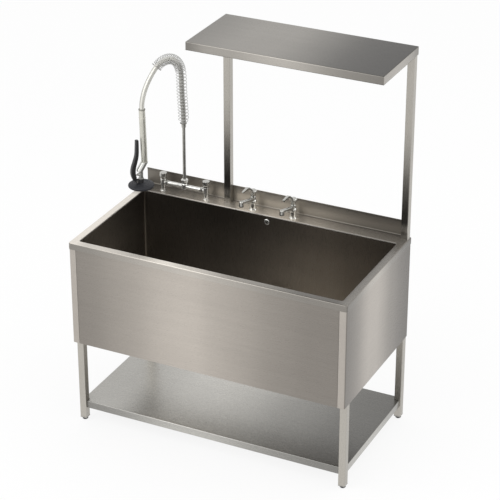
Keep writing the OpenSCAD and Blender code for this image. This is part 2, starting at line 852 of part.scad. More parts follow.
// Grip sleeve that swells a little in its middle
module spray_grip() {
    color(plastic) gun_frame() rotate_extrude($fn = 64) polygon([
        [0, -ferrule_len], [13.8, -ferrule_len], [14.3, -ferrule_len - 1.5], [14.3, -ferrule_len - 50],
        [14.8, -ferrule_len - 100], [14.8, -ferrule_len - 150], [14, -ferrule_len - grip_len + 2],
        [13.5, -ferrule_len - grip_len], [0, -ferrule_len - grip_len]
    ]);
}

// Valve housing that turns outwards below the grip, with the nozzle tube
grip_end = hose_route[len(hose_route) - 1] - (ferrule_len + grip_len) * [sin(grip_tilt), cos(grip_tilt)];
housing_end = [226, 161];
housing_lean = atan2(housing_end[0] - grip_end[0], grip_end[1] - housing_end[1]);
stem_low = lever_pivot[1] + 8;

module spray_body() {
    reach = norm(housing_end - grip_end);
    stem_top = plunger_z + 18;
    color(chrome) arm_frame() difference() {
        union() {
            translate([grip_end[0], 0, grip_end[1]]) sphere(r = housing_r + 0.6, $fn = 64);
            translate([grip_end[0], 0, grip_end[1]]) rotate([0, 180 - housing_lean, 0]) rotate_extrude($fn = 64)
                polygon([
                    [0, 0], [housing_r, 0], [housing_r, reach - 7], [housing_r - 2, reach - 6],
                    [housing_r - 2, reach - 2], [housing_r - 4, reach], [0, reach]
                ]);
            translate([nozzle_s, 0, rose_z + 12]) cylinder(r = 8, h = stem_low - rose_z - 12 + eps, $fn = 64);
            translate([nozzle_s, 0, stem_low]) rotate_extrude($fn = 64) polygon([
                [0, 0], [12.5, 0], [12.5, 3], [stem_r, 4.5], [stem_r, stem_top - stem_low], [0, stem_top - stem_low]
            ]);
            translate([nozzle_s, 0, plunger_z]) rotate([0, 90, 0]) cylinder(r = 6.5, h = 17, $fn = 64);
        }
        gun_frame_cut();
        translate([nozzle_s - 1, 0, plunger_z]) rotate([0, 90, 0]) cylinder(r = 3 + run_gap, h = 60, $fn = 48);
    }
}

// Space of the grip sleeve, cut from the housing so that the two meet face to face
module gun_frame_cut() {
    end = hose_route[len(hose_route) - 1];
    translate([end[0], 0, end[1]]) rotate([0, grip_tilt, 0])
        translate([0, 0, -ferrule_len - grip_len]) cylinder(r = 40, h = 60, $fn = 32);
}

// Collar with two ears that carry the lever's pin
ear_gap = 11;
ear_t = 3;
module lever_bracket() {
    z0 = lever_pivot[1] - 7;
    color(black) arm_frame() difference() {
        union() {
            translate([nozzle_s, 0, z0]) cylinder(r = 12.5, h = 14, $fn = 64);
            for (side = [-1, 1]) translate([0, side * (ear_gap + ear_t) / 2, 0]) {
                translate([lever_pivot[0], 0, lever_pivot[1]]) rotate([90, 0, 0])
                    cylinder(r = 7, h = ear_t, center = true, $fn = 64);
                block([nozzle_s, -ear_t / 2, z0], [lever_pivot[0], ear_t / 2, z0 + 14]);
            }
        }
        translate([nozzle_s, 0, z0 - 1]) cylinder(r = 8 + run_gap, h = 16, $fn = 64);
        translate([nozzle_s + 12.5, -ear_gap / 2, z0 - 1]) cube([30, ear_gap, 16]);
        translate([lever_pivot[0], 0, lever_pivot[1]]) rotate([90, 0, 0])
            cylinder(r = 2.5 + run_gap, h = 40, center = true, $fn = 48);
    }
}

module lever_pin() {
    color(chrome) arm_frame() translate([lever_pivot[0], 0, lever_pivot[1]]) rotate([90, 0, 0]) {
        cylinder(r = 2.5, h = ear_gap + 2 * ear_t + 2, center = true, $fn = 48);
        for (side = [-1, 1]) translate([0, 0, side * ((ear_gap + 2 * ear_t) / 2 + 1)])
            cylinder(r = 3.6, h = 1.4, center = true, $fn = 48);
    }
}

// Outline of the lever: its centre line thickened to both sides, blunt at the free end
function lever_half(i, line) =
    let (
        n = len(line),
        a = line[max(i - 1, 0)],
        b = line[min(i + 1, n - 1)],
        d = unit(b - a),
        taper = 0.70 + 0.30 * min(1, i / (n * 0.7)) - 0.25 * max(0, i / n - 0.8) / 0.2
    )
    [-d[1], d[0]] * lever_t / 2 * taper;

module spray_lever() {
    line = spline(lever_line, 4);
    n = len(line);
    outer = [for (i = [0:n - 1]) line[i] + lever_half(i, line)];
    inner = [for (i = [n - 1:-1:0]) line[i] - lever_half(i, line)];
    tip_dir = line[0] - line[1];
    tip = atan2(tip_dir[1], tip_dir[0]);
    tip_r = 2.5;
    tip_side = norm(lever_half(0, line)) - tip_r;
    across = [-sin(tip), cos(tip)];
    color(black) arm_frame() difference() {
        union() {
            translate([0, lever_w / 2, 0]) rotate([90, 0, 0]) linear_extrude(lever_w)
                polygon(concat(
                    outer, inner,
                    arc(line[0] + across * tip_side, tip_r, tip + 85, tip, 4),
                    arc(line[0] - across * tip_side, tip_r, tip, tip - 85, 4)
                ));
            translate([lever_pivot[0], 0, lever_pivot[1]]) rotate([90, 0, 0])
                cylinder(r = 6.5, h = ear_gap - 2 * seat_gap, center = true, $fn = 64);
            translate([0, ear_gap / 2 - seat_gap, 0]) rotate([90, 0, 0])
                linear_extrude(ear_gap - 2 * seat_gap)
                    polygon([
                        lever_pivot + [-4, 5], lever_pivot + [5, -4], line[n - 1] + [6, -2],
                        line[n - 3] + [4, 0], line[n - 3] + [-5, 0]
                    ]);
        }
        translate([lever_pivot[0], 0, lever_pivot[1]]) rotate([90, 0, 0])
            cylinder(r = 2.5 + run_gap, h = 40, center = true, $fn = 48);
        for (side = [-1, 1]) translate([lever_pivot[0], side * (ear_gap / 2 + 10 - seat_gap), lever_pivot[1]])
            rotate([90, 0, 0]) cylinder(r = 11, h = 20, center = true, $fn = 64);
    }
}

// Push rod of the valve, pressed by the lever
module valve_plunger() {
    tip_s = 243.3;
    from_s = nozzle_s + 3;
    color(chrome) arm_frame() translate([from_s, 0, plunger_z]) rotate([0, 90, 0])
        rotate_extrude($fn = 48) polygon(concat(
            [[0, 0], [3, 0]],
            arc([0, tip_s - from_s - 3], 3, 0, 90, 6)
        ));
}

// Rubber rose: shallow bell with a rolled edge, recessed below for the spray face
module spray_rose() {
    edge = 7;
    color(rubber) arm_frame() translate([nozzle_s, 0, rose_z]) difference() {
        rotate_extrude($fn = 64) polygon(concat(
            [[0, -edge - 1], [rose_r - edge, -edge - 1]],
            arc([rose_r - edge, -1], edge, -90, 80, 10),
            [[rose_r - 18, 8.6], [27, 10.4], [16, 12], [0, 12]]
        ));
        translate([0, 0, -10]) cylinder(r = rose_r - 14, h = 5, $fn = 64);
    }
}

// Perforated spray face in the rose's recess
module spray_face() {
    r = rose_r - 14 - seat_gap;
    color(chrome) arm_frame() translate([nozzle_s, 0, rose_z - 7.5]) difference() {
        cylinder(r = r, h = 2.5, $fn = 64);
        for (ring = [1:3], k = [0:5 * ring])
            rotate(k * 360 / (5 * ring + 1)) translate([ring * r / 3.6, 0, -1]) cylinder(r = 1.4, h = 5, $fn = 16);
    }
}

// Pillar tap: turned body with an inclined spout that ends in a downward nozzle
module tap_body() {
    spout_len = spout_reach / cos(spout_rise);
    base_r = 18.5;
    waist_r = 13.5;
    collar_z = spout_root + 15;
    rotate_extrude($fn = 64) polygon(concat(
        [[0, 0], [base_r, 0], [base_r, 2.5], [base_r - 2, 4.5], [waist_r, 7], [waist_r, 26]],
        arc([5.5, 40], 12.5, -48, 48, 8),
        [[12.5, collar_z - 6], [12.5, collar_z], [10, collar_z + 2.5], [spindle_r, collar_z + 2.5],
            [spindle_r, hub_high - 8], [0, hub_high - 8]]
    ));
    tail();
    translate([0, 0, spout_root]) rotate([90 - spout_rise, 0, 0]) cylinder(r1 = 10.5, r2 = 8.5, h = spout_len, $fn = 64);
    translate([0, -spout_reach, mouth_z]) sphere(r = 9.3, $fn = 48);
    translate([0, -spout_reach, mouth_z - nozzle_drop]) cylinder(r1 = 11.5, r2 = 9.3, h = nozzle_drop, $fn = 64);
}

module left_tap_body() {
    color(chrome) translate([tap_left_x, deck_y, rim_h]) tap_body();
}

module right_tap_body() {
    color(chrome) translate([tap_right_x, deck_y, rim_h]) tap_body();
}

// Lever head: flared hub on the spindle with a tapering arm to the front
module tap_lever() {
    arm_rise = 30;
    arm_z = hub_high + arm_rise;
    under = spline([
        [0, hub_high - 11], [20, hub_high - 6], [38, hub_high + arm_rise / 2], [56, arm_z - 4],
        [lever_len - 3, arm_z - 4]
    ], 4);
    over = spline([
        [lever_len - 3, arm_z + 3.5], [52, arm_z + 4], [31, hub_high + arm_rise / 2 + 3], [14, hub_high + 3.5],
        [0, hub_high + 1]
    ], 4);
    profile = concat(under, [[lever_len, arm_z - 1], [lever_len, arm_z + 1]], over);
    difference() {
        union() {
            rotate_extrude($fn = 64) polygon(concat(
                [[0, hub_low], [11, hub_low], [11.5, hub_low + 6]],
                arc([9, hub_high - 6], 8, 0, 90, 6),
                [[0, hub_high + 3]]
            ));
            intersection() {
                translate([-10, 0, 0]) rotate([90, 0, -90]) mirror([1, 0, 0]) translate([0, 0, -20])
                    linear_extrude(20) polygon([for (q = profile) [-q[0], q[1]]]);
                translate([0, 0, hub_low]) linear_extrude(80)
                    polygon([[-8, 0], [-5, 4 - lever_len], [-3, -lever_len], [3, -lever_len], [5, 4 - lever_len], [8, 0]]);
            }
        }
        translate([0, 0, hub_low - 1]) cylinder(r = spindle_r + run_gap, h = hub_high - 8 - hub_low + 1.5, $fn = 48);
    }
}

module left_tap_lever() {
    color(chrome) translate([tap_left_x, deck_y, rim_h]) tap_lever();
}

module right_tap_lever() {
    color(chrome) translate([tap_right_x, deck_y, rim_h]) tap_lever();
}

module tap_aerators() {
    ring_h = 5;
    color(dark_steel) for (x = [tap_left_x, tap_right_x])
        translate([x, deck_y - spout_reach, rim_h + mouth_z - nozzle_drop - ring_h]) difference() {
            cylinder(r = 10.8, h = ring_h, $fn = 64);
            translate([0, 0, -1]) cylinder(r = 8.5, h = ring_h - 1.5, $fn = 64);
        }
}

module tap_backnuts() {
    color(chrome) for (x = [tap_left_x, tap_right_x])
        translate([x, deck_y, rim_h]) backnut();
}

// Overflow: slotted rose inside the bowl, elbow and pipe down to the waste behind it
overflow_z = rim_h - overflow_drop;
pipe_r = 10;
bend_r = 18;
collar_t = 8;
pipe_y = bowl_back + sheet + collar_t + bend_r;
sump_z = ledge_z - bowl_fall;
waste_inlet_z = sump_z - 48;
waste_seat_r = 36;
socket_len = 40;

module overflow_rose() {
    color(chrome) translate([0, bowl_back, overflow_z]) rotate([90, 0, 0]) difference() {
        union() {
            rotate_extrude($fn = 64) polygon([[0, 0], [14, 0], [14, 1], [11, 3], [0, 3]]);
            translate([0, 0, -sheet - 4]) cylinder(r = hole_r - 0.3, h = sheet + 5, $fn = 64);
        }
        for (x = [-6:3:6]) translate([x - 0.8, -6, -10]) cube([1.6, 12, 20]);
    }
}

// Quarter bend of the overflow pipe in the YZ plane, from a start angle above +Y
module quarter_bend(y, z, from) {
    translate([0, y, z]) rotate([0, -90, 0]) rotate([0, 0, from])
        rotate_extrude(angle = 90, $fn = 48) translate([bend_r, 0]) circle(r = pipe_r, $fn = 32);
}

module overflow_pipe() {
    start_y = bowl_back + sheet;
    socket_y = waste_y + socket_len;
    color(plastic) {
        translate([0, start_y, overflow_z]) rotate([-90, 0, 0]) difference() {
            cylinder(r = 16, h = collar_t, $fn = 64);
            translate([0, 0, -1]) cylinder(r = hole_r, h = 6, $fn = 64);
        }
        quarter_bend(pipe_y - bend_r, overflow_z - bend_r, 0);
        translate([0, pipe_y, waste_inlet_z + bend_r - eps])
            cylinder(r = pipe_r, h = overflow_z - 2 * bend_r - waste_inlet_z + 2 * eps, $fn = 64);
        quarter_bend(pipe_y - bend_r, waste_inlet_z + bend_r, 90);
        translate([0, socket_y, waste_inlet_z]) rotate([-90, 0, 0])
            cylinder(r = pipe_r, h = pipe_y - bend_r - socket_y + eps, $fn = 64);
    }
}

// Waste: flange with a strainer and a threaded shank through the bowl's floor
module waste_flange() {
    r = waste_seat_r - 0.5;
    color(chrome) translate([0, waste_y, sump_z]) difference() {
        rotate_extrude($fn = 64) polygon([
            [0, -8], [r - 3.5, -8], [r - 3.5, -20], [r, -20], [r, 0], [r + 8.5, 0], [r + 7.5, 1.6],
            [r + 0.5, 1.2], [r - 2.5, -4], [0, -5]
        ]);
        for (k = [0:7]) rotate(k * 45) translate([18, 0, -10]) cylinder(r = 5, h = 10, $fn = 32);
        translate([0, 0, -10]) cylinder(r = 5, h = 10, $fn = 32);
    }
}

// Waste body under the shank, with its threaded outlet and the overflow's socket
module waste_body() {
    low = waste_inlet_z - sump_z - 14;
    color(plastic) translate([0, waste_y, sump_z]) difference() {
        union() {
            rotate_extrude($fn = 64) polygon([
                [0, -20], [38, -20], [38, -28], [30, -36], [30, low], [waste_r, low],
                [waste_r, low - waste_tail], [0, low - waste_tail]
            ]);
            translate([0, 0, waste_inlet_z - sump_z]) rotate([-90, 0, 0])
                cylinder(r = pipe_r + 3, h = socket_len, $fn = 64);
        }
        rotate_extrude($fn = 64) polygon([
            [0, -19], [32, -19], [32, -26], [26, -32], [26, low + 4], [20, low + 2],
            [20, low - waste_tail - 1], [0, low - waste_tail - 1]
        ]);
        translate([0, 0, waste_inlet_z - sump_z]) rotate([-90, 0, 0])
            cylinder(r = pipe_r - 2, h = socket_len + 1, $fn = 48);
    }
}

module waste_nut() {
    color(plastic) translate([0, waste_y, sump_z - sheet - 9]) difference() {
        cylinder(r = waste_seat_r + 11, h = 9, $fn = 8);
        translate([0, 0, -1]) cylinder(r = waste_seat_r - 0.5 + run_gap, h = 11, $fn = 64);
    }
}

basin();
top_sheet();
rear_upstand();
front_panel();
left_side_panel();
right_side_panel();
front_left_leg();
front_right_leg();
rear_left_leg();
rear_right_leg();
front_rail();
bowl_rail();
rear_rail();
side_rails();
inner_upright();
leg_inserts();
foot_front_left();
foot_front_right();
foot_rear_left();
foot_rear_right();
undershelf();
undershelf_stiffeners();
left_post();
right_post();
post_spigots();
overhead_shelf();
left_shelf_arm();
right_shelf_arm();
shelf_stiffener();
mixer_body();
mixer_knob_left();
mixer_knob_right();
mixer_backnuts();
riser_nut();
riser_pipe();
hose_swivel();
hose_spring();
spring_end_ring();
spray_hose();
hose_ferrule();
spray_grip();
spray_body();
lever_bracket();
lever_pin();
spray_lever();
valve_plunger();
spray_rose();
spray_face();
left_tap_body();
right_tap_body();
left_tap_lever();
right_tap_lever();
tap_aerators();
tap_backnuts();
overflow_rose();
overflow_pipe();
waste_flange();
waste_body();
waste_nut();
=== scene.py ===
import math

import bmesh
import bpy
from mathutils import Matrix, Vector, geometry


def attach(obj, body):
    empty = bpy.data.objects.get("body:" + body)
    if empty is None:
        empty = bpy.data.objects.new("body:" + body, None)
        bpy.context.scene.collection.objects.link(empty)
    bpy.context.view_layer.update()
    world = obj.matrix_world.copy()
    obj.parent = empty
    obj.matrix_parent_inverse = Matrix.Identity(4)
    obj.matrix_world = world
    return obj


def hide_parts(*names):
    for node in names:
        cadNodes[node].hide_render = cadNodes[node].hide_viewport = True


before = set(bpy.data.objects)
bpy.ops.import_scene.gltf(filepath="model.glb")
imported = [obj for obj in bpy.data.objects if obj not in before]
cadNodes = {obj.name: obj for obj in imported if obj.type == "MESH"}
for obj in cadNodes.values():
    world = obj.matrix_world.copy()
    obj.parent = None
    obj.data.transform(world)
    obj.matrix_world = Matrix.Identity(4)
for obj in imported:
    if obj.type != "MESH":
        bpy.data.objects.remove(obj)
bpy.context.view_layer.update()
scene = bpy.context.scene
print("frame loaded with", len(cadNodes), "nodes")


# placing helpers

def addObject(name, data):
    thing = bpy.data.objects.new(name, data)
    scene.collection.objects.link(thing)
    return thing


def aimAt(thing, place, target):
    thing.location = place
    look = Vector(target) - Vector(place)
    thing.rotation_euler = look.to_track_quat("-Z", "Y").to_euler()


# camera, taken from the photo's straight edges

photoCamera = {
    "place": (3.3167, -6.7050, 4.6519),
    "aim": (0.0346, 0.0264, 0.8473),
    "focalPixels": 1952.9,
    "frameWidth": 500,
    "filmWidth": 36.0,
    "farLimit": 60,
}


def addPhotoCamera(view):
    lens = bpy.data.cameras.new("photoLens")
    lens.sensor_fit = "HORIZONTAL"
    lens.sensor_width = view["filmWidth"]
    lens.lens = view["focalPixels"] / view["frameWidth"] * view["filmWidth"]
    lens.clip_end = view["farLimit"]
    camera = addObject("photoCamera", lens)
    aimAt(camera, view["place"], view["aim"])
    scene.camera = camera


addPhotoCamera(photoCamera)
print("camera placed")


# material helpers

noStretch = (1, 1, 1)
noiseMiddle = (0.3, 0.7)  # most of a noise lies between these
facingEdge = (0.55, 0.85)  # where a face starts to count as looking along an axis, and where it fully does
# the painted reflection round upright tubes runs along this direction
tubeSides = (0.899, 0.438, 0.0)  # from a tube's left edge to its right edge, seen from the front right


def startMaterial(name):
    material = bpy.data.materials.new(name)
    material.use_nodes = True
    tree = material.node_tree
    shader = tree.nodes["Principled BSDF"]
    return material, tree, shader


def addNode(tree, kind, **settings):
    node = tree.nodes.new(kind)
    for key, value in settings.items():
        setattr(node, key, value)
    return node


def feed(tree, socket, value):
    # a socket takes a plain number or another node's output
    if isinstance(value, (int, float)):
        socket.default_value = value
    else:
        tree.links.new(value, socket)


def noiseValue(tree, scale, stretch, detail, rough):
    place = addNode(tree, "ShaderNodeTexCoord")
    mapping = addNode(tree, "ShaderNodeMapping")
    mapping.inputs["Scale"].default_value = stretch
    tree.links.new(place.outputs["Object"], mapping.inputs["Vector"])
    grain = addNode(tree, "ShaderNodeTexNoise")
    grain.inputs["Scale"].default_value = scale
    grain.inputs["Detail"].default_value = detail
    grain.inputs["Roughness"].default_value = rough
    tree.links.new(mapping.outputs["Vector"], grain.inputs["Vector"])
    return grain.outputs["Fac"]


def mapTo(tree, value, low, high, fromLow, fromHigh):
    spread = addNode(tree, "ShaderNodeMapRange")
    spread.inputs["From Min"].default_value = fromLow
    spread.inputs["From Max"].default_value = fromHigh
    spread.inputs["To Min"].default_value = low
    spread.inputs["To Max"].default_value = high
    tree.links.new(value, spread.inputs["Value"])
    return spread.outputs["Result"]


def noiseTo(tree, noise, low, high):
    return mapTo(tree, noise, low, high, *noiseMiddle)


def multiplyValue(tree, first, second):
    product = addNode(tree, "ShaderNodeMath", operation="MULTIPLY")
    feed(tree, product.inputs[0], first)
    feed(tree, product.inputs[1], second)
    return product.outputs["Value"]


def mixTone(tree, first, second, share):
    mix = addNode(tree, "ShaderNodeMix", data_type="FLOAT")
    feed(tree, mix.inputs[0], share)
    feed(tree, mix.inputs[2], first)
    feed(tree, mix.inputs[3], second)
    return mix.outputs[0]


def shadeColour(tree, colour, factor):
    tint = addNode(tree, "ShaderNodeVectorMath", operation="SCALE")
    tint.inputs[0].default_value = colour
    tree.links.new(factor, tint.inputs["Scale"])
    return tint.outputs["Vector"]


def objectAxis(tree, kind, axis):
    # X, Y or Z of the object's own place or normal
    place = addNode(tree, "ShaderNodeTexCoord")
    split = addNode(tree, "ShaderNodeSeparateXYZ")
    tree.links.new(place.outputs[kind], split.inputs["Vector"])
    return split.outputs[axis]


def alongDirection(tree, kind, direction):
    # how far the object's own place or normal reaches along a direction
    place = addNode(tree, "ShaderNodeTexCoord")
    reach = addNode(tree, "ShaderNodeVectorMath", operation="DOT_PRODUCT")
    reach.inputs[1].default_value = direction
    tree.links.new(place.outputs[kind], reach.inputs[0])
    return reach.outputs["Value"]


def toneRamp(tree, value, stops, mode="CARDINAL"):
    # a ramp holds no colour above 1, so brighter stops are scaled down in it and up again after it
    ramp = addNode(tree, "ShaderNodeValToRGB")
    ramp.color_ramp.interpolation = mode
    peak = max(tone for _, tone in stops)
    marks = ramp.color_ramp.elements
    while len(marks) < len(stops):
        marks.new(0.5)
    for mark, (where, tone) in zip(marks, stops):
        mark.position = where
        mark.color = (tone / peak, tone / peak, tone / peak, 1)
    tree.links.new(value, ramp.inputs["Fac"])
    return multiplyValue(tree, ramp.outputs["Color"], peak)


def axisRamp(tree, axis, low, high, stops, mode="CARDINAL"):
    place = objectAxis(tree, "Object", axis)
    return toneRamp(tree, mapTo(tree, place, 0.0, 1.0, low, high), stops, mode)


def sideReflectionTone(tree, stops):
    # painted reflection and shade that runs round an upright tube from its left edge to its right edge
    side = alongDirection(tree, "Normal", tubeSides)
    return toneRamp(tree, mapTo(tree, side, 0.0, 1.0, -1.0, 1.0), stops, "LINEAR")


def facingMask(tree, axis, oneWay=False):
    # one on faces that look along the axis, zero on the others; one way leaves out those that look against it
    look = objectAxis(tree, "Normal", axis)
    if not oneWay:
        size = addNode(tree, "ShaderNodeMath", operation="ABSOLUTE")
        tree.links.new(look, size.inputs[0])
        look = size.outputs["Value"]
    return mapTo(tree, look, 0.0, 1.0, *facingEdge)


def addBump(tree, shader, height, strength, distance):
    bump = addNode(tree, "ShaderNodeBump")
    bump.inputs["Strength"].default_value = strength
    bump.inputs["Distance"].default_value = distance
    tree.links.new(height, bump.inputs["Height"])
    tree.links.new(bump.outputs["Normal"], shader.inputs["Normal"])


def finishShader(tree, shader, colour, tone, rough, metal):
    tree.links.new(shadeColour(tree, colour, tone), shader.inputs["Base Color"])
    tree.links.new(rough, shader.inputs["Roughness"])
    shader.inputs["Metallic"].default_value = metal


# brushed sheet steel: fine lines and longer streaks along the grain, faint clouds, and ramps of painted
# reflection and shade

brushing = {
    "lineScale": 1500,
    "lineStretch": 0.02,
    "lineTone": 0.045,
    "streakScale": 60,
    "streakStretch": 0.03,
    "cloudScale": 3.2,
    "smoother": 0.05,
    "rougher": 0.07,
    "bump": 0.08,
    "bumpDepth": 0.00024,
}


def alongGrain(axis, stretch):
    return tuple(stretch if name == axis else 1 for name in "XYZ")


def brushedSteel(name, colour, grain, rough, cloud=0.04, streak=0.02, metal=0.8, facing=(), masks=(),
                 bands=(), back=None):
    # facing: ramps of painted reflection and shade for faces that look along X, Y or Z; masks: such ramps
    # that take over part of an axis;
    # bands: ramps of painted shade over the whole piece; back: plain tone of the faces that look to the back
    material, tree, shader = startMaterial(name)
    lineStretch = alongGrain(grain, brushing["lineStretch"])
    streakStretch = alongGrain(grain, brushing["streakStretch"])
    fine = noiseValue(tree, brushing["lineScale"], lineStretch, detail=2.0, rough=0.7)
    streaks = noiseValue(tree, brushing["streakScale"], streakStretch, detail=2.0, rough=0.5)
    clouds = noiseValue(tree, brushing["cloudScale"], noStretch, detail=3.0, rough=0.5)
    tone = noiseTo(tree, fine, 1 - brushing["lineTone"], 1 + brushing["lineTone"])
    tone = multiplyValue(tree, tone, noiseTo(tree, streaks, 1 - streak, 1 + streak))
    tone = multiplyValue(tree, tone, noiseTo(tree, clouds, 1 - cloud, 1 + cloud))
    shade = None
    for look, band in facing:
        ramp = axisRamp(tree, *band)
        for maskLook, maskBand, otherBand in masks:
            if maskLook == look:
                ramp = mixTone(tree, ramp, axisRamp(tree, *otherBand), axisRamp(tree, *maskBand))
        shade = ramp if shade is None else mixTone(tree, shade, ramp, facingMask(tree, look))
    if shade is not None:
        if back is not None:
            shade = mixTone(tree, shade, back, facingMask(tree, "Y", True))
        tone = multiplyValue(tree, tone, shade)
    for band in bands:
        tone = multiplyValue(tree, tone, axisRamp(tree, *band))
    roughness = noiseTo(tree, fine, rough - brushing["smoother"], rough + brushing["rougher"])
    finishShader(tree, shader, colour, tone, roughness, metal)
    addBump(tree, shader, fine, brushing["bump"], brushing["bumpDepth"])
    return material


# plated brass and polished metal: spots in the tone, wipe marks in the gloss, and painted reflection and
# shade round tubes and along their height

plating = {
    "spotScale": 60,
    "darkest": 0.92,
    "brightest": 1.05,
    "wipeScale": 300,
    "wipeStretch": (1, 1, 0.1),
    "smoothest": 0.6,  # shares of the roughness
    "roughest": 1.8,
    "bump": 0.03,
    "bumpDepth": 0.0005,
}


def brightChrome(name, colour, rough, metal, sideReflections=None, bands=()):
    # the first list paints reflection and shade round an upright tube; bands: ramps over the whole piece,
    # which paint light and shade on the taps and the gun
    material, tree, shader = startMaterial(name)
    spots = noiseValue(tree, plating["spotScale"], noStretch, detail=5.0, rough=0.65)
    wipes = noiseValue(tree, plating["wipeScale"], plating["wipeStretch"], detail=2.0, rough=0.5)
    tone = noiseTo(tree, spots, plating["darkest"], plating["brightest"])
    if sideReflections:
        tone = multiplyValue(tree, tone, sideReflectionTone(tree, sideReflections))
    for band in bands:
        tone = multiplyValue(tree, tone, axisRamp(tree, *band))
    roughness = noiseTo(tree, wipes, rough * plating["smoothest"], rough * plating["roughest"])
    finishShader(tree, shader, colour, tone, roughness, metal)
    addBump(tree, shader, spots, plating["bump"], plating["bumpDepth"])
    return material


# moulded plastic and rubber: pores, and wear in tone and gloss

moulding = {
    "wearScale": 18,
    "wearStretch": (1, 1, 0.4),
    "darkest": 0.85,
    "brightest": 1.18,
    "smoother": 0.06,
    "rougher": 0.08,
    "bumpDepth": 0.0003,
}


def mouldedPlastic(name, colour, rough, poreScale=900, bump=0.12, metal=0.0, shine=0.5, tone=None):
    # tone: a function that gives a further tone over the piece; the hose's one paints shadow and reflection
    material, tree, shader = startMaterial(name)
    pores = noiseValue(tree, poreScale, noStretch, detail=2.0, rough=0.6)
    wear = noiseValue(tree, moulding["wearScale"], moulding["wearStretch"], detail=4.0, rough=0.6)
    shade = noiseTo(tree, wear, moulding["darkest"], moulding["brightest"])
    if tone:
        shade = multiplyValue(tree, shade, tone(tree))
    roughness = noiseTo(tree, wear, rough - moulding["smoother"], rough + moulding["rougher"])
    finishShader(tree, shader, colour, shade, roughness, metal)
    shader.inputs["Specular IOR Level"].default_value = shine
    addBump(tree, shader, pores, bump, moulding["bumpDepth"])
    return material


# mesh helpers

bendSteps = 4  # faces round a fold of the sheet
cornerSteps = 8  # faces round a corner seen from above
meldDistance = 0.00001  # points nearer than this become one
lineTolerance = 0.001  # a point this near a line counts as on it
straightLimit = 1e-6  # two edges with less turn between them are one line


def meshFrom(name, points, faces, solid=False):
    build = bmesh.new()
    verts = [build.verts.new(p) for p in points]
    for face in faces:
        build.faces.new([verts[i] for i in face])
    bmesh.ops.remove_doubles(build, verts=build.verts, dist=meldDistance)
    bmesh.ops.dissolve_degenerate(build, edges=build.edges, dist=meldDistance)
    if solid:
        bmesh.ops.recalc_face_normals(build, faces=build.faces)
    mesh = bpy.data.meshes.new(name)
    build.to_mesh(mesh)
    build.free()
    return mesh


def newPiece(mesh, material, body, cadNode, smoothAngle=35):
    for face in mesh.polygons:
        face.use_smooth = True
    mesh.set_sharp_from_angle(angle=math.radians(smoothAngle))
    mesh.materials.append(material)
    piece = addObject(mesh.name, mesh)
    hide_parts(cadNode)
    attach(piece, body)
    return piece


def evenNormals(piece):
    weighted = piece.modifiers.new("evenNormals", "WEIGHTED_NORMAL")
    weighted.keep_sharp = True


def thicken(piece, thickness, farSide=None):
    # the modifier moves the drawn faces to the far side and puts its new ones where they were
    shell = piece.modifiers.new("sheetThickness", "SOLIDIFY")
    if farSide:
        piece.data.materials.append(piece.data.materials[0])
        piece.data.materials[0] = farSide
        shell.material_offset = 1
    shell.thickness = thickness
    shell.offset = -1
    shell.use_even_offset = True
    evenNormals(piece)


def cornerArc(centre, radius, fromAngle, toAngle, steps):
    arc = []
    for i in range(steps + 1):
        angle = math.radians(fromAngle + (toAngle - fromAngle) * i / steps)
        arc.append((centre[0] + radius * math.cos(angle), centre[1] + radius * math.sin(angle)))
    return arc


def quarterBend(radius, steps):
    # how far in and how far up a bend has come at each step
    angles = [math.pi / 2 * i / steps for i in range(steps + 1)]
    return [(radius * (1 - math.cos(angle)), radius * math.sin(angle)) for angle in angles]


def foldProfile(low, high, radius):
    # inset and height from the bottom of a fold up round its bend to the top face
    return [(0.0, low)] + [(inset, high - radius + rise) for inset, rise in quarterBend(radius, bendSteps)]


def squareLoop(x0, y0, x1, y1):
    return [(x1, y1), (x0, y1), (x0, y0), (x1, y0)]


def roundedLoop(x0, y0, x1, y1, radius, steps):
    middles = squareLoop(x0 + radius, y0 + radius, x1 - radius, y1 - radius)
    loop = []
    for turn, middle in enumerate(middles):
        loop += cornerArc(middle, radius, 90 * turn, 90 * turn + 90, steps)
    return loop


def insetLoop(loop, distance, keepEdge=None):
    # moves each edge of an anticlockwise loop inwards; keepEdge(a, b) is true where an edge stays
    count = len(loop)
    lines = []
    for i in range(count):
        a, b = Vector(loop[i]), Vector(loop[(i + 1) % count])
        way = (b - a).normalized()
        inward = Vector((-way.y, way.x))
        moved = 0.0 if keepEdge and keepEdge(a, b) else distance
        lines.append((a + inward * moved, b + inward * moved))
    corners = []
    for i in range(count):
        before, after = lines[i - 1], lines[i]
        wayA, wayB = (before[1] - before[0]).normalized(), (after[1] - after[0]).normalized()
        cross = wayA.x * wayB.y - wayA.y * wayB.x
        if abs(cross) < straightLimit:
            corners.append(tuple((before[1] + after[0]) / 2))
            continue
        gap = after[0] - before[0]
        reach = (gap.x * wayB.y - gap.y * wayB.x) / cross
        corners.append(tuple(before[0] + wayA * reach))
    return corners


def stackedLoops(loop, profile, keepEdge=None):
    # the loop once at each inset and height of the profile
    return [(x, y, height) for inset, height in profile for x, y in insetLoop(loop, inset, keepEdge)]


def ringsToFaces(rings, count, start=0, openEdge=None):
    # joins rings of count points each; openEdge is left without faces
    faces = []
    for ring in range(rings - 1):
        a, b = start + ring * count, start + (ring + 1) * count
        for i in range(count):
            if i != openEdge:
                j = (i + 1) % count
                faces.append((a + i, a + j, b + j, b + i))
    return faces


def turnedFaces(turns, deep, closed, start=0):
    # joins profiles of deep points each, set round an axis
    faces = []
    for turn in range(turns):
        a, b = start + turn * deep, start + (turn + 1) % turns * deep
        for i in range(deep if closed else deep - 1):
            j = (i + 1) % deep
            faces.append((a + i, b + i, b + j, a + j))
    return faces


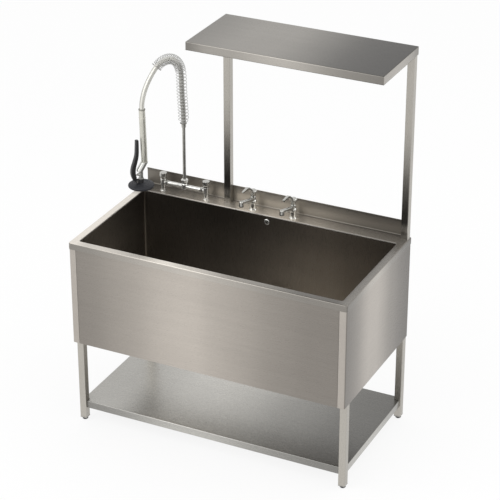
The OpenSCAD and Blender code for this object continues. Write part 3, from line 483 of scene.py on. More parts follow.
def fillLoops(loops, height, start):
    # flat face between loops, as triangles; returns points and faces
    flat = [[Vector((x, y, 0)) for x, y in loop] for loop in loops]
    points = [(x, y, height) for loop in loops for x, y in loop]
    faces = []
    for tri in geometry.tessellate_polygon(flat):
        a, b, c = (Vector(points[i]) for i in tri)
        order = tri if (b - a).cross(c - a).z > 0 else tri[::-1]
        faces.append(tuple(i + start for i in order))
    return points, faces


# spray arm's own frame: reach out from the riser, height above the deck, across

sprayArm = {
    "riser": (-0.424, 0.299),
    "deck": 0.900,
    "turn": 235.0,
    "hoseRoute": [
        (0.0000, 0.3490), (0.0010, 0.4040), (0.0035, 0.4490), (0.0059, 0.4940), (0.0068, 0.5290),
        (0.0074, 0.5590), (0.0087, 0.5840), (0.0121, 0.6065), (0.0191, 0.6273), (0.0312, 0.6456),
        (0.0487, 0.6587), (0.0699, 0.6642), (0.0916, 0.6613), (0.1110, 0.6512), (0.1289, 0.6353),
        (0.1453, 0.6151), (0.1607, 0.5917), (0.1754, 0.5656), (0.1881, 0.5362), (0.1977, 0.5026),
        (0.2016, 0.4780), (0.2024, 0.4580),
    ],
    "pointsBetween": 8,
    "wayReach": 0.003,  # the hose's way at a place is taken from this far before it to this far after
}


def armPoint(reach, height, across=0.0):
    turn = math.radians(sprayArm["turn"])
    x, y = sprayArm["riser"]
    return Vector((x + reach * math.cos(turn) - across * math.sin(turn),
                   y + reach * math.sin(turn) + across * math.cos(turn),
                   sprayArm["deck"] + height))


def smoothLine(points, per):
    line = []
    last = len(points) - 1
    p = [Vector(q) for q in points]
    for i in range(last):
        a = p[i - 1] if i > 0 else 2 * p[0] - p[1]
        b, c = p[i], p[i + 1]
        d = p[i + 2] if i + 2 <= last else 2 * p[last] - p[last - 1]
        for k in range(per):
            t = k / per
            line.append(0.5 * (2 * b + (c - a) * t + (2 * a - 5 * b + 4 * c - d) * t * t
                               + (3 * b - a - 3 * c + d) * t * t * t))
    line.append(p[last])
    return line


def runningLength(line):
    run = [0.0]
    for a, b in zip(line, line[1:]):
        run.append(run[-1] + (b - a).length)
    return run


hoseLine = smoothLine(sprayArm["hoseRoute"], sprayArm["pointsBetween"])
hoseRun = runningLength(hoseLine)


def hoseAt(length):
    length = min(max(length, 0.0), hoseRun[-1])
    for i in range(len(hoseRun) - 1):
        if length <= hoseRun[i + 1]:
            t = (length - hoseRun[i]) / (hoseRun[i + 1] - hoseRun[i])
            return hoseLine[i].lerp(hoseLine[i + 1], t)
    return hoseLine[-1]


def hoseWay(length):
    return (hoseAt(length + sprayArm["wayReach"]) - hoseAt(length - sprayArm["wayReach"])).normalized()


# hose: the cord comes first

hose = {
    "radius": 0.011,
    "roundness": 8,
    "colour": (0.66, 0.65, 0.60),
    "rough": 0.14,
    "metal": 0.30,
    "poreScale": 500,
    "bump": 0.04,
    # the hose is painted dark with shadow inside the spring, and with reflection and shade round its sides
    # beyond it
    "springShadowUpTo": 0.010,  # reach from the riser
    "paleFrom": 0.050,
    "clearFrom": 0.118,
    "clearBlend": 0.004,
    "springShadowTone": 0.52,
    "archTone": 1.02,
    "clearSideReflections": [
        (0.0, 0.50), (0.12, 0.62), (0.24, 1.06), (0.46, 1.10), (0.58, 0.66), (0.70, 0.72), (0.82, 1.0),
        (1.0, 0.75),
    ],
}


def curvePiece(name, points, radius, roundness, material, body, cadNode):
    curve = bpy.data.curves.new(name, "CURVE")
    curve.dimensions = "3D"
    curve.bevel_depth = radius
    curve.bevel_resolution = roundness
    curve.use_fill_caps = True
    spline = curve.splines.new("POLY")
    spline.points.add(len(points) - 1)
    for spot, point in zip(spline.points, points):
        spot.co = (*point, 1.0)
    spline.use_smooth = True
    curve.materials.append(material)
    piece = addObject(name, curve)
    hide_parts(cadNode)
    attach(piece, body)
    return piece


def hoseShadeAndReflection(tree):
    # painted shadow low inside the spring, fading out round the arch; beyond the spring's end, painted
    # reflection and shade round the clear hose
    turn = math.radians(sprayArm["turn"])
    x, y = sprayArm["riser"]
    reach = alongDirection(tree, "Object", (math.cos(turn), math.sin(turn), 0.0))
    start = x * math.cos(turn) + y * math.sin(turn)
    inside = mapTo(tree, reach, hose["springShadowTone"], hose["archTone"], start + hose["springShadowUpTo"],
                   start + hose["paleFrom"])
    clear, blend = start + hose["clearFrom"], hose["clearBlend"]
    share = mapTo(tree, reach, 0.0, 1.0, clear - blend, clear + blend)
    return mixTone(tree, inside, sideReflectionTone(tree, hose["clearSideReflections"]), share)


hoseMaterial = mouldedPlastic("clearHose", hose["colour"], hose["rough"], hose["poreScale"], hose["bump"],
                              metal=hose["metal"], tone=hoseShadeAndReflection)
hosePoints = [armPoint(p.x, p.y) for p in hoseLine]
hosePiece = curvePiece("sprayHose", hosePoints, hose["radius"], hose["roundness"], hoseMaterial, "spray_arm",
                       "spray_hose")
print("hose laid,", round(hoseRun[-1], 3), "m")


# spring round the hose

spring = {
    "outerRadius": 0.024,
    "wireRadius": 0.0016,
    "wireRoundness": 3,
    "startRadius": 0.0134,
    "widenTurns": 0.75,
    "from": 0.003,
    "to": 0.404,
    "change": 0.251,
    "lowPitch": 0.0153,
    "highPitch": 0.0076,
    "turnStep": 0.125,
    "perTurn": 24,
    "colour": (0.56, 0.56, 0.545),
}


def coilRadius(turns):
    full = spring["outerRadius"] - spring["wireRadius"]
    t = min(1.0, turns / spring["widenTurns"])
    return spring["startRadius"] + (full - spring["startRadius"]) * t * t * (3 - 2 * t)


def lowTurns():
    return (spring["change"] - spring["from"]) / spring["lowPitch"]


def springTurns():
    turns = lowTurns() + (spring["to"] - spring["change"]) / spring["highPitch"]
    return math.floor(turns / spring["turnStep"]) * spring["turnStep"]


def springLength(turns):
    # place along the hose of the wire's middle
    low = lowTurns()
    if turns <= low:
        length = spring["from"] + turns * spring["lowPitch"]
    else:
        length = spring["change"] + (turns - low) * spring["highPitch"]
    return length + spring["wireRadius"]


def springPoint(turns):
    length = springLength(turns)
    centre, way = hoseAt(length), hoseWay(length)
    angle = 2 * math.pi * turns
    coil = coilRadius(turns)
    return armPoint(centre.x + way.y * coil * math.cos(angle), centre.y - way.x * coil * math.cos(angle),
                    coil * math.sin(angle))


def springEnd(turns, side):
    # short straight end of the wire, along the coil
    way = hoseWay(springLength(turns))
    angle = 2 * math.pi * turns
    radial = Vector((way.y * math.cos(angle), math.sin(angle), -way.x * math.cos(angle)))
    axial = Vector((way.x, 0, way.y))
    along = axial.cross(radial).normalized() * side
    return (armPoint(along.x, along.z, along.y) - armPoint(0, 0, 0)) * 2 * spring["wireRadius"]


springMaterial = brushedSteel("springWire", spring["colour"], grain="Z", rough=0.20, cloud=0.05, streak=0.05,
                              metal=0.85)
turnCount = springTurns()
wirePoints = [springPoint(i / spring["perTurn"]) for i in range(int(turnCount * spring["perTurn"]) + 1)]
wirePoints.insert(0, wirePoints[0] + springEnd(0, -1))
wirePoints.append(wirePoints[-1] + springEnd(turnCount, 1))
springPiece = curvePiece("hoseSpring", wirePoints, spring["wireRadius"], spring["wireRoundness"],
                         springMaterial, "spray_arm", "hose_spring")
print("spring wound,", turnCount, "turns")


# finishes

# the steel pieces share one steel and the chrome pieces one chrome; their colours differ by the light and
# shade each shows, which is painted light and shade
finishes = {
    "rim": (0.51, 0.478, 0.433),
    "frontPanel": (0.497, 0.455, 0.408),
    "sidePanel": (0.45, 0.415, 0.375),
    # the bowl's dark colour is painted shade of its inside
    "bowl": (0.22, 0.19, 0.155),
    "bowlOutside": (0.43, 0.41, 0.38),
    "upstand": (0.435, 0.396, 0.340),
    "overheadShelf": (0.365, 0.345, 0.315),
    "undershelf": (0.42, 0.41, 0.385),
    "tubes": (0.50, 0.475, 0.43),
    "hiddenSteel": (0.40, 0.39, 0.37),
    "chrome": (0.69, 0.685, 0.655),
    "tapChrome": (0.53, 0.523, 0.492),
    "gunChrome": (0.74, 0.74, 0.71),
    "riserChrome": (0.60, 0.59, 0.55),
    "sleeves": (0.64, 0.63, 0.56),
    "blackPlastic": (0.022, 0.022, 0.023),
    "rubber": (0.026, 0.027, 0.031),
    "whitePlastic": (0.70, 0.70, 0.67),
}

# a ramp of painted reflection and shade: axis, where it starts and ends in metres, and (share of the way,
# tone) pairs
frontReflectionBand = ("X", -0.62, 0.62, [
    (0.0, 0.50), (0.12, 0.62), (0.27, 0.84), (0.41, 1.02), (0.51, 0.94), (0.70, 0.67), (0.85, 0.52),
    (1.0, 0.47),
])
sideReflectionBand = ("Y", -0.34, 0.34, [
    (0.0, 0.39), (0.20, 0.65), (0.36, 0.96), (0.50, 0.93), (0.65, 0.66), (0.80, 0.46), (1.0, 0.30),
])
foldReflectionBand = ("Y", -0.34, 0.34, [
    (0.0, 0.35), (0.20, 0.57), (0.36, 0.86), (0.50, 0.83), (0.65, 0.57), (0.80, 0.40), (1.0, 0.26),
])
rimReflectionBand = ("X", -0.65, 0.65, [
    (0.0, 1.48), (0.025, 1.48), (0.06, 1.12), (0.13, 1.15), (0.24, 0.98), (0.36, 1.58), (0.47, 1.12),
    (0.59, 0.68), (0.71, 0.54), (0.83, 0.32), (0.96, 0.26), (1.0, 0.48),
], "LINEAR")
deckStarts = ("Y", 0.20, 0.27, [(0.0, 0.0), (1.0, 1.0)], "LINEAR")
deckReflectionBand = ("X", -0.65, 0.65, [
    (0.0, 0.15), (0.10, 0.66), (0.19, 1.22), (0.30, 1.32), (0.40, 1.32), (0.52, 1.18), (0.65, 0.98),
    (0.75, 0.72), (0.88, 0.60), (1.0, 0.50),
])
lipStarts = ("Y", 0.0, 0.10, [(0.0, 0.0), (1.0, 1.0)], "LINEAR")
lipReflectionBand = ("X", -0.65, 0.65, [
    (0.0, 0.30), (0.27, 0.50), (0.41, 0.57), (0.51, 0.53), (0.70, 0.40), (1.0, 0.30),
])
# painted reflection and shade on the rim and deck: each facing gets its own ramp, and the deck behind the
# opening and the front lip get their own
rimSteel = brushedSteel(
    "rimSteel", finishes["rim"], grain="X", rough=0.28,
    facing=[("Z", rimReflectionBand), ("Y", frontReflectionBand), ("X", foldReflectionBand)],
    masks=[("Z", deckStarts, deckReflectionBand), ("Y", lipStarts, lipReflectionBand)],
)
# painted reflection across the front panel: darker at the ends, lightest a little left of the middle
frontSteel = brushedSteel(
    "frontPanelSteel", finishes["frontPanel"], grain="X", rough=0.30, cloud=0.03, facing=[("Y", frontReflectionBand)],
    back=0.85,
)
# painted reflection along the side panels: lightest a little in front of the middle, darker to the front and
# much darker to the back
sideSteel = brushedSteel(
    "sidePanelSteel", finishes["sidePanel"], grain="Y", rough=0.30, cloud=0.03,
    facing=[("X", sideReflectionBand), ("Y", ("Z", 0.40, 0.90, [(0.0, 0.97), (1.0, 0.98)]))],
)

bowlOutside = brushedSteel("bowlOutside", finishes["bowlOutside"], grain="X", rough=0.34)
# painted shade and reflection inside the bowl: the back wall darkest left of the middle, the ends darker to
# the back, the walls lighter lower down and the floor lighter
bowlFloorPaintedLight = ("X", -0.62, 0.62, [(0.0, 1.3), (1.0, 1.3)])
bowlBackShadeBand = ("X", -0.62, 0.62, [
    (0.0, 0.50), (0.06, 0.34), (0.14, 0.27), (0.35, 0.26), (0.50, 0.50), (0.70, 0.88), (0.81, 0.74),
    (1.0, 0.50),
])
bowlEndShadeBand = ("Y", -0.31, 0.27, [(0.0, 1.0), (0.30, 1.0), (0.60, 0.62), (0.85, 0.38), (1.0, 0.36)])
bowlDepthShadeBand = ("Z", 0.50, 0.90, [
    (0.0, 1.2), (0.08, 1.55), (0.18, 1.90), (0.40, 1.80), (0.62, 1.6), (0.72, 1.36), (0.82, 1.15),
    (0.90, 1.03), (1.0, 0.97),
])
bowlSteel = brushedSteel(
    "bowlSteel", finishes["bowl"], grain="Z", rough=0.30, cloud=0.05,
    facing=[("Z", bowlFloorPaintedLight), ("Y", bowlBackShadeBand), ("X", bowlEndShadeBand)], bands=[bowlDepthShadeBand],
)

# painted reflection along the upstand, lightest at the middle, and painted shade at its foot and its top hem
upstandReflectionBand = ("X", -0.64, 0.64, [
    (0.0, 0.45), (0.18, 0.52), (0.34, 0.86), (0.50, 1.02), (0.66, 0.80), (0.82, 0.52), (1.0, 0.42),
])
upstandHeightShadeBand = ("Z", 0.90, 0.975, [
    (0.0, 0.62), (0.20, 0.74), (0.50, 0.96), (0.80, 0.90), (0.90, 0.72), (1.0, 0.58),
])
upstandSteel = brushedSteel(
    "upstandSteel", finishes["upstand"], grain="X", rough=0.32, cloud=0.05, metal=0.58,
    facing=[("Y", upstandReflectionBand)], bands=[upstandHeightShadeBand], back=1.05,
)

# painted reflection on the overhead shelf: the top darker to the right, the front lightest right of the
# middle, the ends darker to the back
overheadTopReflectionBand = ("X", -0.24, 0.65, [(0.0, 0.58), (0.27, 0.79), (0.49, 0.71), (0.72, 0.32), (1.0, 0.16)])
overheadFrontReflectionBand = ("X", -0.24, 0.65, [
    (0.0, 0.57), (0.04, 0.66), (0.10, 0.90), (0.27, 1.02), (0.49, 1.24), (0.72, 0.84), (1.0, 0.58),
])
overheadEndReflectionBand = ("Y", -0.03, 0.345, [(0.0, 1.0), (0.30, 1.10), (0.6, 1.05), (0.85, 0.80), (1.0, 0.60)])
overheadSteel = brushedSteel(
    "overheadShelfSteel", finishes["overheadShelf"], grain="X", rough=0.30,
    facing=[("Z", overheadTopReflectionBand), ("Y", overheadFrontReflectionBand), ("X", overheadEndReflectionBand)],
)

# painted reflection on the undershelf: the top lightest left of the middle and dark to the right, the front
# lightest near the middle, the ends darker to the back
undershelfTopReflectionBand = ("X", -0.64, 0.64, [
    (0.0, 0.98), (0.22, 1.25), (0.40, 1.42), (0.62, 0.94), (0.82, 0.53), (1.0, 0.37),
])
undershelfFrontReflectionBand = ("X", -0.64, 0.64, [
    (0.0, 0.56), (0.22, 0.90), (0.42, 1.20), (0.60, 0.93), (0.80, 0.64), (1.0, 0.55),
])
undershelfEndReflectionBand = ("Y", -0.31, 0.34, [(0.0, 1.0), (0.30, 1.12), (0.65, 1.03), (1.0, 0.64)])
undershelfSteel = brushedSteel(
    "undershelfSteel", finishes["undershelf"], grain="X", rough=0.26, metal=0.72,
    facing=[("Z", undershelfTopReflectionBand), ("Y", undershelfFrontReflectionBand), ("X", undershelfEndReflectionBand)],
)

# painted reflection and shade on the square tubes: their sides darker than their fronts, and the fronts of
# the posts dark just above the deck, where the deck and bowl show in them
tubeSteel = brushedSteel("tubeSteel", finishes["tubes"], grain="Z", rough=0.28, metal=0.9, back=0.85, facing=[
    ("X", ("Z", 0.0, 1.78, [(0.0, 0.80), (1.0, 0.82)])),
    ("Y", ("Z", 0.0, 1.78, [
        (0.0, 0.92), (0.505, 0.92), (0.5065, 0.27), (0.5225, 0.33), (0.5281, 0.82), (0.5337, 0.88),
        (0.5390, 0.72), (0.5444, 0.42), (0.55, 0.20), (0.575, 0.19), (0.62, 0.40), (0.70, 0.62), (0.79, 0.84),
        (1.0, 0.86),
    ], "LINEAR")),
])
hiddenSteel = brushedSteel(
    "plainSteel", finishes["hiddenSteel"], grain="X", rough=0.36, cloud=0.06, streak=0.03,
)

chrome = brightChrome("platedBrass", finishes["chrome"], rough=0.11, metal=0.84)
# painted reflection on the taps and knobs: lighter low down, by the deck
tapChrome = brightChrome("tapChrome", finishes["tapChrome"], rough=0.10, metal=0.88, bands=[
    ("Z", 0.90, 1.0, [(0.0, 1.45), (0.35, 1.38), (0.55, 1.0), (1.0, 0.92)]),
])
# painted reflection and shade round the spray gun's body, and painted shade low on it
gunChrome = brightChrome("gunChrome", finishes["gunChrome"], rough=0.12, metal=0.62, sideReflections=[
    (0.0, 0.80), (0.15, 1.0), (0.55, 1.0), (0.72, 0.66), (0.86, 0.62), (1.0, 0.85),
], bands=[
    ("Z", 0.99, 1.09, [(0.0, 0.48), (0.35, 0.52), (0.65, 0.90), (1.0, 1.0)]),
])
# painted reflection round the riser: light at its left edge, dark across the middle and right
riserChrome = brightChrome("riserChrome", finishes["riserChrome"], rough=0.16, metal=0.60, sideReflections=[
    (0.0, 1.0), (0.12, 0.95), (0.30, 0.62), (0.52, 0.50), (0.80, 0.46), (0.92, 0.60), (1.0, 0.8),
])
# painted reflection round the grip: light stripes and dark bands from edge to edge
gripSleeve = brightChrome("gripSleeve", finishes["sleeves"], rough=0.20, metal=0.58, sideReflections=[
    (0.0, 0.72), (0.10, 0.90), (0.34, 1.0), (0.42, 0.86), (0.52, 0.96), (0.66, 0.96), (0.74, 0.74),
    (0.84, 0.76), (0.93, 0.95), (1.0, 0.8),
])
# painted reflection round the ferrule; the ramp along its height makes it darker at the foot and in a band at
# the top
ferruleSleeve = brightChrome("ferruleSleeve", finishes["sleeves"], rough=0.20, metal=0.58, sideReflections=[
    (0.0, 0.76), (0.10, 0.94), (0.34, 1.04), (0.66, 1.0), (0.76, 0.84), (0.86, 0.82), (0.95, 0.96),
    (1.0, 0.8),
], bands=[
    ("Z", 1.312, 1.360, [
        (0.0, 0.74), (0.10, 0.76), (0.16, 1.0), (0.82, 1.0), (0.88, 0.46), (1.0, 0.44),
    ], "LINEAR"),
])
blackPlastic = mouldedPlastic("blackPlastic", finishes["blackPlastic"], rough=0.38)
roseRubber = mouldedPlastic("roseRubber", finishes["rubber"], rough=0.52, poreScale=700, bump=0.2, shine=0.24)
whitePlastic = mouldedPlastic("whitePlastic", finishes["whitePlastic"], rough=0.35)
print("finishes made")


# rim and deck, one folded sheet

rimSheet = {
    "halfWidth": 0.650,
    "front": -0.345,
    "back": 0.345,
    "top": 0.900,
    "fold": 0.030,
    "cornerRadius": 0.010,
    "bend": 0.0045,
    "openingHalf": 0.615,
    "openingFront": -0.310,
    "openingBack": 0.266,
    "openingCorner": 0.010,
    "sheet": 0.0015,
}


def makeRimSheet(part):
    half, front, back, top = part["halfWidth"], part["front"], part["back"], part["top"]
    corner, bend = part["cornerRadius"], part["bend"]
    outline = ([(half, back), (-half, back)]
               + cornerArc((-half + corner, front + corner), corner, 180, 270, cornerSteps)
               + cornerArc((half - corner, front + corner), corner, 270, 360, cornerSteps))

    def isBack(a, b):
        return min(a.y, b.y) > back - lineTolerance

    fold = foldProfile(top - part["fold"], top, bend)
    points = stackedLoops(outline, fold, isBack)
    faces = ringsToFaces(len(fold), len(outline), openEdge=0)
    side = part["openingHalf"]
    opening = roundedLoop(-side, part["openingFront"], side, part["openingBack"], part["openingCorner"],
                          cornerSteps)
    deck = [insetLoop(outline, bend, isBack), insetLoop(opening, -bend)]
    topPoints, topFaces = fillLoops(deck, top, len(points))
    points += topPoints
    faces += topFaces
    lip = [(rise - bend, top - inset) for inset, rise in quarterBend(bend, bendSteps)]
    faces += ringsToFaces(len(lip), len(opening), start=len(points))
    points += stackedLoops(opening, lip)
    piece = newPiece(meshFrom("rimSheet", points, faces), rimSteel, "frame", "top_sheet")
    thicken(piece, part["sheet"])


makeRimSheet(rimSheet)


# upstand along the back, with a hem and a bend into the deck

upstand = {
    "halfWidth": 0.637,
    "base": 0.9002,
    "sink": 0.0001,  # how far its foot goes below the base
    "top": 0.975,
    "face": 0.3435,
    "back": 0.345,
    "bend": 0.006,
    "hem": 0.008,
    "hemStep": 0.0015,
    "hemFaces": 8,
}


def makeUpstand(part):
    face, back, bend, base = part["face"], part["back"], part["bend"], part["base"]
    step = part["hemStep"]
    hemFoot = part["top"] - part["hem"]
    middle = (face + back - step) / 2
    half = back - middle
    section = [(face - bend, base - part["sink"])]
    section += [(face - bend + rise, base + inset) for inset, rise in quarterBend(bend, bendSteps)]
    section += [(face, hemFoot - step), (face - step, hemFoot)]
    section += cornerArc((middle, part["top"] - half), half, 180, 0, part["hemFaces"])
    section.append((back, base - part["sink"]))
    count = len(section)
    points = [(x, y, z) for x in (-part["halfWidth"], part["halfWidth"]) for y, z in section]
    faces = ringsToFaces(2, count)
    for tri in geometry.tessellate_polygon([[Vector((y, z, 0)) for y, z in section]]):
        faces += [tuple(tri), tuple(i + count for i in tri)]
    mesh = meshFrom("upstandSheet", points, faces, solid=True)
    piece = newPiece(mesh, upstandSteel, "frame", "rear_upstand")
    evenNormals(piece)


makeUpstand(upstand)
print("rim and upstand made")


# bowl: walls, rounded floor edge, falls and waste seat

bowl = {
    "half": 0.615,
    "front": -0.310,
    "back": 0.266,
    "corner": 0.010,
    "top": 0.8955,
    "floor": 0.500,
    "fillet": 0.0095,
    "filletFaces": 6,
    "ledge": 0.044,
    "sump": 0.490,
    "sumpHalf": 0.052,
    "wastePlace": (0.0, 0.130),
    "wasteRadius": 0.0362,
    "wasteFaces": 48,
    "sheet": 0.0015,
}


def makeBowl(part):
    half, front, back = part["half"], part["front"], part["back"]
    floor, fillet = part["floor"], part["fillet"]
    wall = roundedLoop(-half, front, half, back, part["corner"], cornerSteps)
    rings = [(0.0, part["top"])]
    rings += [(inset, floor + fillet - rise) for inset, rise in quarterBend(fillet, part["filletFaces"])]
    points = stackedLoops(wall, rings)
    faces = [face[::-1] for face in ringsToFaces(len(rings), len(wall))]
    ledge = part["ledge"]
    ledgeLoop = squareLoop(-half + ledge, front + ledge, half - ledge, back - ledge)
    flatPoints, flatFaces = fillLoops([insetLoop(wall, fillet), ledgeLoop], floor, len(points))
    points += flatPoints
    faces += flatFaces
    x, y = part["wastePlace"]
    side, sump = part["sumpHalf"], part["sump"]
    sumpLoop = squareLoop(x - side, y - side, x + side, y + side)
    faces += ringsToFaces(2, 4, start=len(points))
    points += [(px, py, floor) for px, py in ledgeLoop] + [(px, py, sump) for px, py in sumpLoop]
    seat = cornerArc((x, y), part["wasteRadius"], 0, 360, part["wasteFaces"])[:-1]
    flatPoints, flatFaces = fillLoops([sumpLoop, seat], sump, len(points))
    points += flatPoints
    faces += flatFaces
    piece = newPiece(meshFrom("bowlShell", points, faces), bowlSteel, "frame", "basin")
    thicken(piece, part["sheet"], bowlOutside)


makeBowl(bowl)
print("bowl made")


# folded shelves

undershelf = {
    "name": "undershelfTray",
    "node": "undershelf",
    "halfWidth": 0.639,
    "front": -0.304,
    "back": 0.339,
    "top": 0.098,
    "fold": 0.034,
    "bend": 0.0035,
    "sheet": 0.0015,
    "legs": (0.6304, -0.298, 0.3255),
    "tube": 0.032,
}

overheadShelf = {
    "name": "overheadTray",
    "node": "overhead_shelf",
    "left": -0.236,
    "right": 0.650,
    "front": -0.030,
    "back": 0.345,
    "top": 1.775,
    "fold": 0.035,
    "bend": 0.0035,
    "sheet": 0.0015,
    "corner": 0.003,
    "lip": 0.010,
    "lipStart": 0.0005,
    "lipEnd": 0.3075,
}


def foldedTray(part, outline, material):
    fold = foldProfile(part["top"] - part["fold"], part["top"], part["bend"])
    points = stackedLoops(outline, fold)
    faces = ringsToFaces(len(fold), len(outline))
    topPoints, topFaces = fillLoops([insetLoop(outline, part["bend"])], part["top"], len(points))
    mesh = meshFrom(part["name"], points + topPoints, faces + topFaces)
    piece = newPiece(mesh, material, "frame", part["node"])
    thicken(piece, part["sheet"])


def notchedOutline(part):
    half, front, back = part["halfWidth"], part["front"], part["back"]
    legX, frontY, rearY = part["legs"]
    side = part["tube"] / 2
    inner, frontIn, rearIn = legX - side, frontY + side, rearY - side
    return [(half, frontIn), (half, rearIn), (inner, rearIn), (inner, back),
            (-inner, back), (-inner, rearIn), (-half, rearIn), (-half, frontIn),
            (-inner, frontIn), (-inner, front), (inner, front), (inner, frontIn)]


def overheadOutline(part):
    corner = part["corner"] + part["sheet"]
    return roundedLoop(part["left"], part["front"], part["right"], part["back"], corner, bendSteps)


def makeShelfLip(part):
    left, right, front, end = part["left"], part["right"], part["front"], part["lipEnd"]
    low = part["top"] - part["fold"]
    points = []
    for inset in (part["lipStart"], part["lip"]):
        points += [(left + inset, end, low), (left + inset, front + inset, low),
                   (right - inset, front + inset, low), (right - inset, end, low)]
    faces = [(i, i + 1, i + 5, i + 4) for i in range(3)]
    piece = newPiece(meshFrom("overheadLip", points, faces), overheadSteel, "frame", "overhead_shelf")
    thicken(piece, part["sheet"])


foldedTray(undershelf, notchedOutline(undershelf), undershelfSteel)
foldedTray(overheadShelf, overheadOutline(overheadShelf), overheadSteel)
makeShelfLip(overheadShelf)
print("shelves folded")


# trigger lever, moulded with rounded edges

lever = {
    "line": [
        (0.2315, 0.314), (0.2320, 0.288), (0.2335, 0.254), (0.2370, 0.233), (0.2430, 0.213),
        (0.2500, 0.192), (0.2535, 0.171), (0.2525, 0.152), (0.2460, 0.132),
    ],
    "pointsBetween": 5,
    "pivot": (0.238, 0.120),
    "thick": 0.0214,
    "wide": 0.0172,
    "topShare": 0.62,  # of its thickness, at the top
    "fullAt": 0.7,  # share of the way down
    "thinFrom": 0.8,
    "thinBy": 0.10,
    "neckSteps": 4,
    "neckStart": 0.019,  # distances from the pivot
    "neckEnd": 0.012,
    "neckThick": 0.0124,
    "neckWide": 0.0100,
    "tipRings": 3,
    "tipSpread": 3.4,  # tip rings that a whole quarter turn would take
    "tipReach": 0.0024,
    "tipThick": 0.0133,
    "tipShares": (0.6, 0.65),  # least thickness and width at the tip
    "hubRadius": 0.0064,
    "hubBore": 0.0026,
    "hubEdge": 0.0008,
    "hubWide": 0.0100,
    "hubTurns": 40,
    "rounding": 0.0032,
    "roundingFaces": 4,
    "mostRound": 0.95,  # of half the thickness or width
}


def leverHalves(part, along, near):
    # half thickness and half width: full in the lower part, slim at the neck by the pivot
    grown = part["topShare"] + (1 - part["topShare"]) * min(1.0, along / part["fullAt"])
    thinned = part["thinBy"] * max(0.0, along - part["thinFrom"]) / (1 - part["thinFrom"])
    halfThick = part["thick"] / 2 * (grown - thinned)
    if near < part["neckEnd"]:
        halfThick = min(halfThick, part["neckThick"] / 2)
    t = min(1.0, max(0.0, (near - part["neckEnd"]) / (part["neckStart"] - part["neckEnd"])))
    return halfThick, (part["neckWide"] * (1 - t) + part["wide"] * t) / 2


def leverRing(part, centre, side, halfThick, halfWide):
    radius = min(part["rounding"], halfThick * part["mostRound"], halfWide * part["mostRound"])
    section = roundedLoop(-halfThick, -halfWide, halfThick, halfWide, radius, part["roundingFaces"])
    return [armPoint(centre.x + side.x * u, centre.y + side.y * u, v) for u, v in section]


def leverTip(part, top, after):
    # these rings are mirrored against the lever's own, which leaves one ring of crossed faces at the tip
    out = (top - after).normalized()
    side = Vector((-out.y, out.x))
    leastThick, leastWide = part["tipShares"]
    rings = []
    for k in range(part["tipRings"], 0, -1):
        angle = math.pi / 2 * k / part["tipSpread"]
        shrink = math.cos(angle)
        rings.append(leverRing(part, top + out * part["tipReach"] * math.sin(angle), side,
                               part["tipThick"] / 2 * (leastThick + (1 - leastThick) * shrink),
                               part["wide"] / 2 * (leastWide + (1 - leastWide) * shrink)))
    return rings


def makeLever(part):
    pivot = Vector(part["pivot"])
    line = smoothLine(part["line"], part["pointsBetween"])
    bottom, steps = line[-1], part["neckSteps"]
    line += [bottom.lerp(pivot, (k + 1) / steps) for k in range(steps)]
    last = len(line) - 1
    rings = leverTip(part, line[0], line[1])
    for i, centre in enumerate(line):
        way = (line[min(i + 1, last)] - line[max(i - 1, 0)]).normalized()
        halves = leverHalves(part, i / (len(line) - steps), (centre - pivot).length)
        rings.append(leverRing(part, centre, Vector((-way.y, way.x)), *halves))
    size = len(rings[0])
    points = [p for ring in rings for p in ring]
    faces = ringsToFaces(len(rings), size)
    faces.append(tuple(range(size))[::-1])
    faces.append(tuple(range(len(points) - size, len(points))))
    half, radius, edge, bore = part["hubWide"] / 2, part["hubRadius"], part["hubEdge"], part["hubBore"]
    profile = [(bore, -half), (radius - edge, -half), (radius, -half + edge), (radius, half - edge),
               (radius - edge, half), (bore, half)]
    turns = part["hubTurns"]
    faces += turnedFaces(turns, len(profile), False, len(points))
    for k in range(turns):
        angle = 2 * math.pi * k / turns
        x, y = math.cos(angle), math.sin(angle)
        points += [armPoint(pivot.x + out * x, pivot.y + out * y, across) for out, across in profile]
    mesh = meshFrom("triggerLever", points, faces, solid=True)
    piece = newPiece(mesh, blackPlastic, "spray_lever", "spray_lever", smoothAngle=50)
    evenNormals(piece)


makeLever(lever)


# rubber rose, turned with shallow rings

rose = {
    "reach": 0.215,
    "height": 0.097,
    "radius": 0.0585,
    "edge": 0.007,
    "edgeHeight": -0.001,
    "edgeTurn": (76, -90),
    "edgeWide": 0.0140,
    "plate": -0.0050,
    "bore": 0.0078,
    "edgeFaces": 12,
    "topRings": [
        (0.0150, 0.0120), (0.0160, 0.0114), (0.0175, 0.0107), (0.0265, 0.0104), (0.0305, 0.0099),
        (0.0315, 0.0105), (0.0330, 0.0103), (0.0340, 0.0094), (0.0400, 0.0086), (0.0410, 0.0091),
        (0.0425, 0.0088), (0.0435, 0.0078), (0.0490, 0.0066),
    ],
    "turns": 96,
}


def makeRose(part):
    edge, bore, plate = part["edge"], part["bore"], part["plate"]
    inside = part["radius"] - part["edgeWide"]
    profile = [(bore, part["topRings"][0][1])] + part["topRings"]
    middle = (part["radius"] - edge, part["edgeHeight"])
    profile += cornerArc(middle, edge, *part["edgeTurn"], part["edgeFaces"])
    profile += [(inside, part["edgeHeight"] - edge), (inside, plate), (bore, plate)]
    turns = part["turns"]
    points = []
    for k in range(turns):
        angle = 2 * math.pi * k / turns
        points += [armPoint(part["reach"] + out * math.cos(angle), part["height"] + up, out * math.sin(angle))
                   for out, up in profile]
    mesh = meshFrom("sprayRose", points, turnedFaces(turns, len(profile), True), solid=True)
    piece = newPiece(mesh, roseRubber, "spray_arm", "spray_rose", smoothAngle=40)


makeRose(rose)
print("lever and rose made")


# finishes of the carried-over nodes

